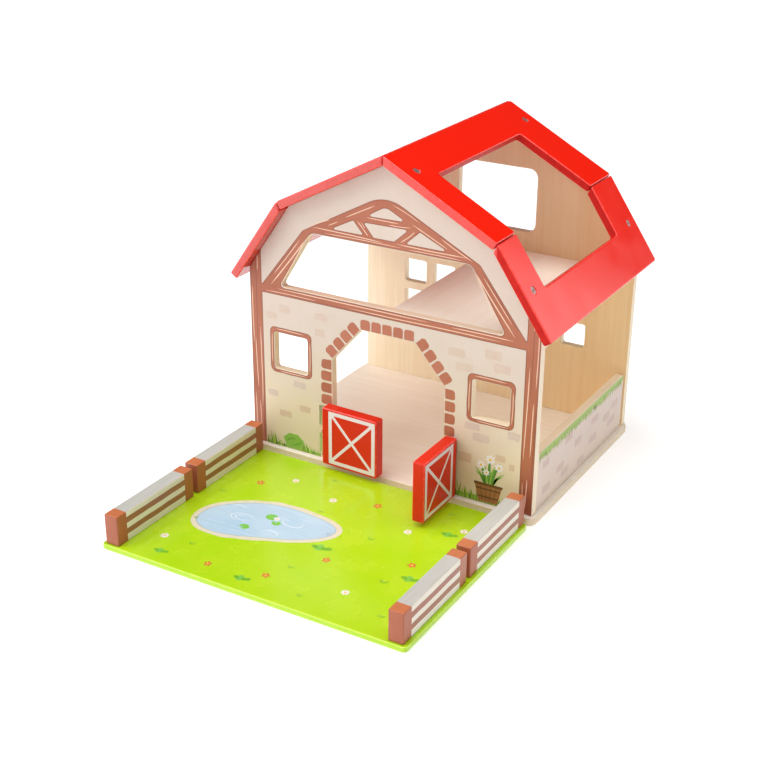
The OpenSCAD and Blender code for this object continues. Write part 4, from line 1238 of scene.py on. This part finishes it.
def wmap(v, a, b, c, d):
    n = wn.nodes.new("ShaderNodeMapRange")
    n.interpolation_type = "SMOOTHSTEP"
    for k, x in (("From Min", a), ("From Max", b), ("To Min", c), ("To Max", d)):
        n.inputs[k].default_value = x
    wn.links.new(v, n.inputs["Value"])
    return n.outputs["Result"]


def wmul(a, b, op="MULTIPLY"):
    n = wn.nodes.new("ShaderNodeMath")
    n.operation = op
    for i, x in enumerate((a, b)):
        if hasattr(x, "is_output"):
            wn.links.new(x, n.inputs[i])
        else:
            n.inputs[i].default_value = x
    return n.outputs[0]


# white low down, an open dark gap high up behind, bright on the left, dim on the right
up = wdot((0, 0, 1))
east = wdot((1, 0, 0))
back = wdot((-0.16, 0.987, 0))
side = wdot((0.987, 0.16, 0))
high = wmap(up, 0.05, 0.16, 0.0, 1.0)
behind = wmap(back, 0.05, 0.45, 0.0, 1.0)
left_of = wmap(side, 0.54, 0.575, 1.0, 0.0)
gap = wmul(wmul(high, behind), left_of)
dome = wmul(wmul(wmap(east, -0.8, 0.8, 1.15, 0.34), wmap(up, 0.0, 0.06, 0.0, 1.0)), wmap(up, 0.70, 0.92, 1.0, 1.5))
dome = wmul(dome, wmap(up, 0.0, 0.06, 1.12, 0.0), "ADD")
card = wmul(wmap(back, 0.30, 0.45, 0.0, 1.0), wmul(wmap(side, 0.560, 0.592, 0.0, 1.0), wmap(up, 0.34, 0.46, 1.0, 0.0)))
level = wmul(wmul(dome, wmul(1.0, wmul(gap, 0.95), "SUBTRACT")), wmul(card, 1.3), "ADD")
wn.links.new(level, bg.inputs[1])
bg.inputs[0].default_value = (1, 1, 1, 1)


def area_light(name, loc, target, size, size_y, power, color=(1, 1, 1), spread=math.pi):
    ld = bpy.data.lights.new(name, "AREA")
    ld.spread = spread
    ld.shape = "RECTANGLE"
    ld.size, ld.size_y, ld.energy, ld.color = size, size_y, power, color
    ob = bpy.data.objects.new(name, ld)
    bpy.context.scene.collection.objects.link(ob)
    ob.location = loc
    ob.rotation_euler = (Vector(target) - Vector(loc)).to_track_quat("-Z", "Y").to_euler()
    return ob


area_light("key", (-1.05, -1.25, 1.45), (0, -0.10, 0.1), 1.1, 1.1, 14.0)
area_light("fill", (0.62, 0.02, 0.80), (0.05, -0.02, 0.17), 0.4, 0.4, 1.0)
area_light("side", (-0.95, -0.03, 0.30), (0.10, 0.04, 0.03), 0.35, 0.35, 0.3, (1.0, 0.97, 0.93), math.radians(36))
area_light("top", (0.05, -0.25, 2.4), (0, -0.05, 0), 1.5, 1.5, 27.0)

# ---------------------------------------------------------------- camera

az, el, roll = math.radians(29.899), math.radians(24.572), math.radians(0.620)
F = Vector((-math.sin(az) * math.cos(el), math.cos(az) * math.cos(el), -math.sin(el)))
r0 = Vector((math.cos(az), math.sin(az), 0.0))
u0 = r0.cross(F)
R = r0 * math.cos(roll) + u0 * math.sin(roll)
U = u0 * math.cos(roll) - r0 * math.sin(roll)
cam = bpy.data.cameras.new("camera")
cam.sensor_width = 36.0
cam.lens = 63.58
cam.clip_start, cam.clip_end = 0.05, 50.0
cam_ob = bpy.data.objects.new("camera", cam)
bpy.context.scene.collection.objects.link(cam_ob)
m = Matrix.Identity(4)
for j in range(3):
    m[j][0], m[j][1], m[j][2] = R[j], U[j], -F[j]
m[0][3], m[1][3], m[2][3] = 0.57230, -1.10035, 0.61935
cam_ob.matrix_world = m
bpy.context.scene.camera = cam_ob
bpy.context.scene.view_settings.view_transform = "Standard"
bpy.context.scene.view_settings.exposure = -0.16
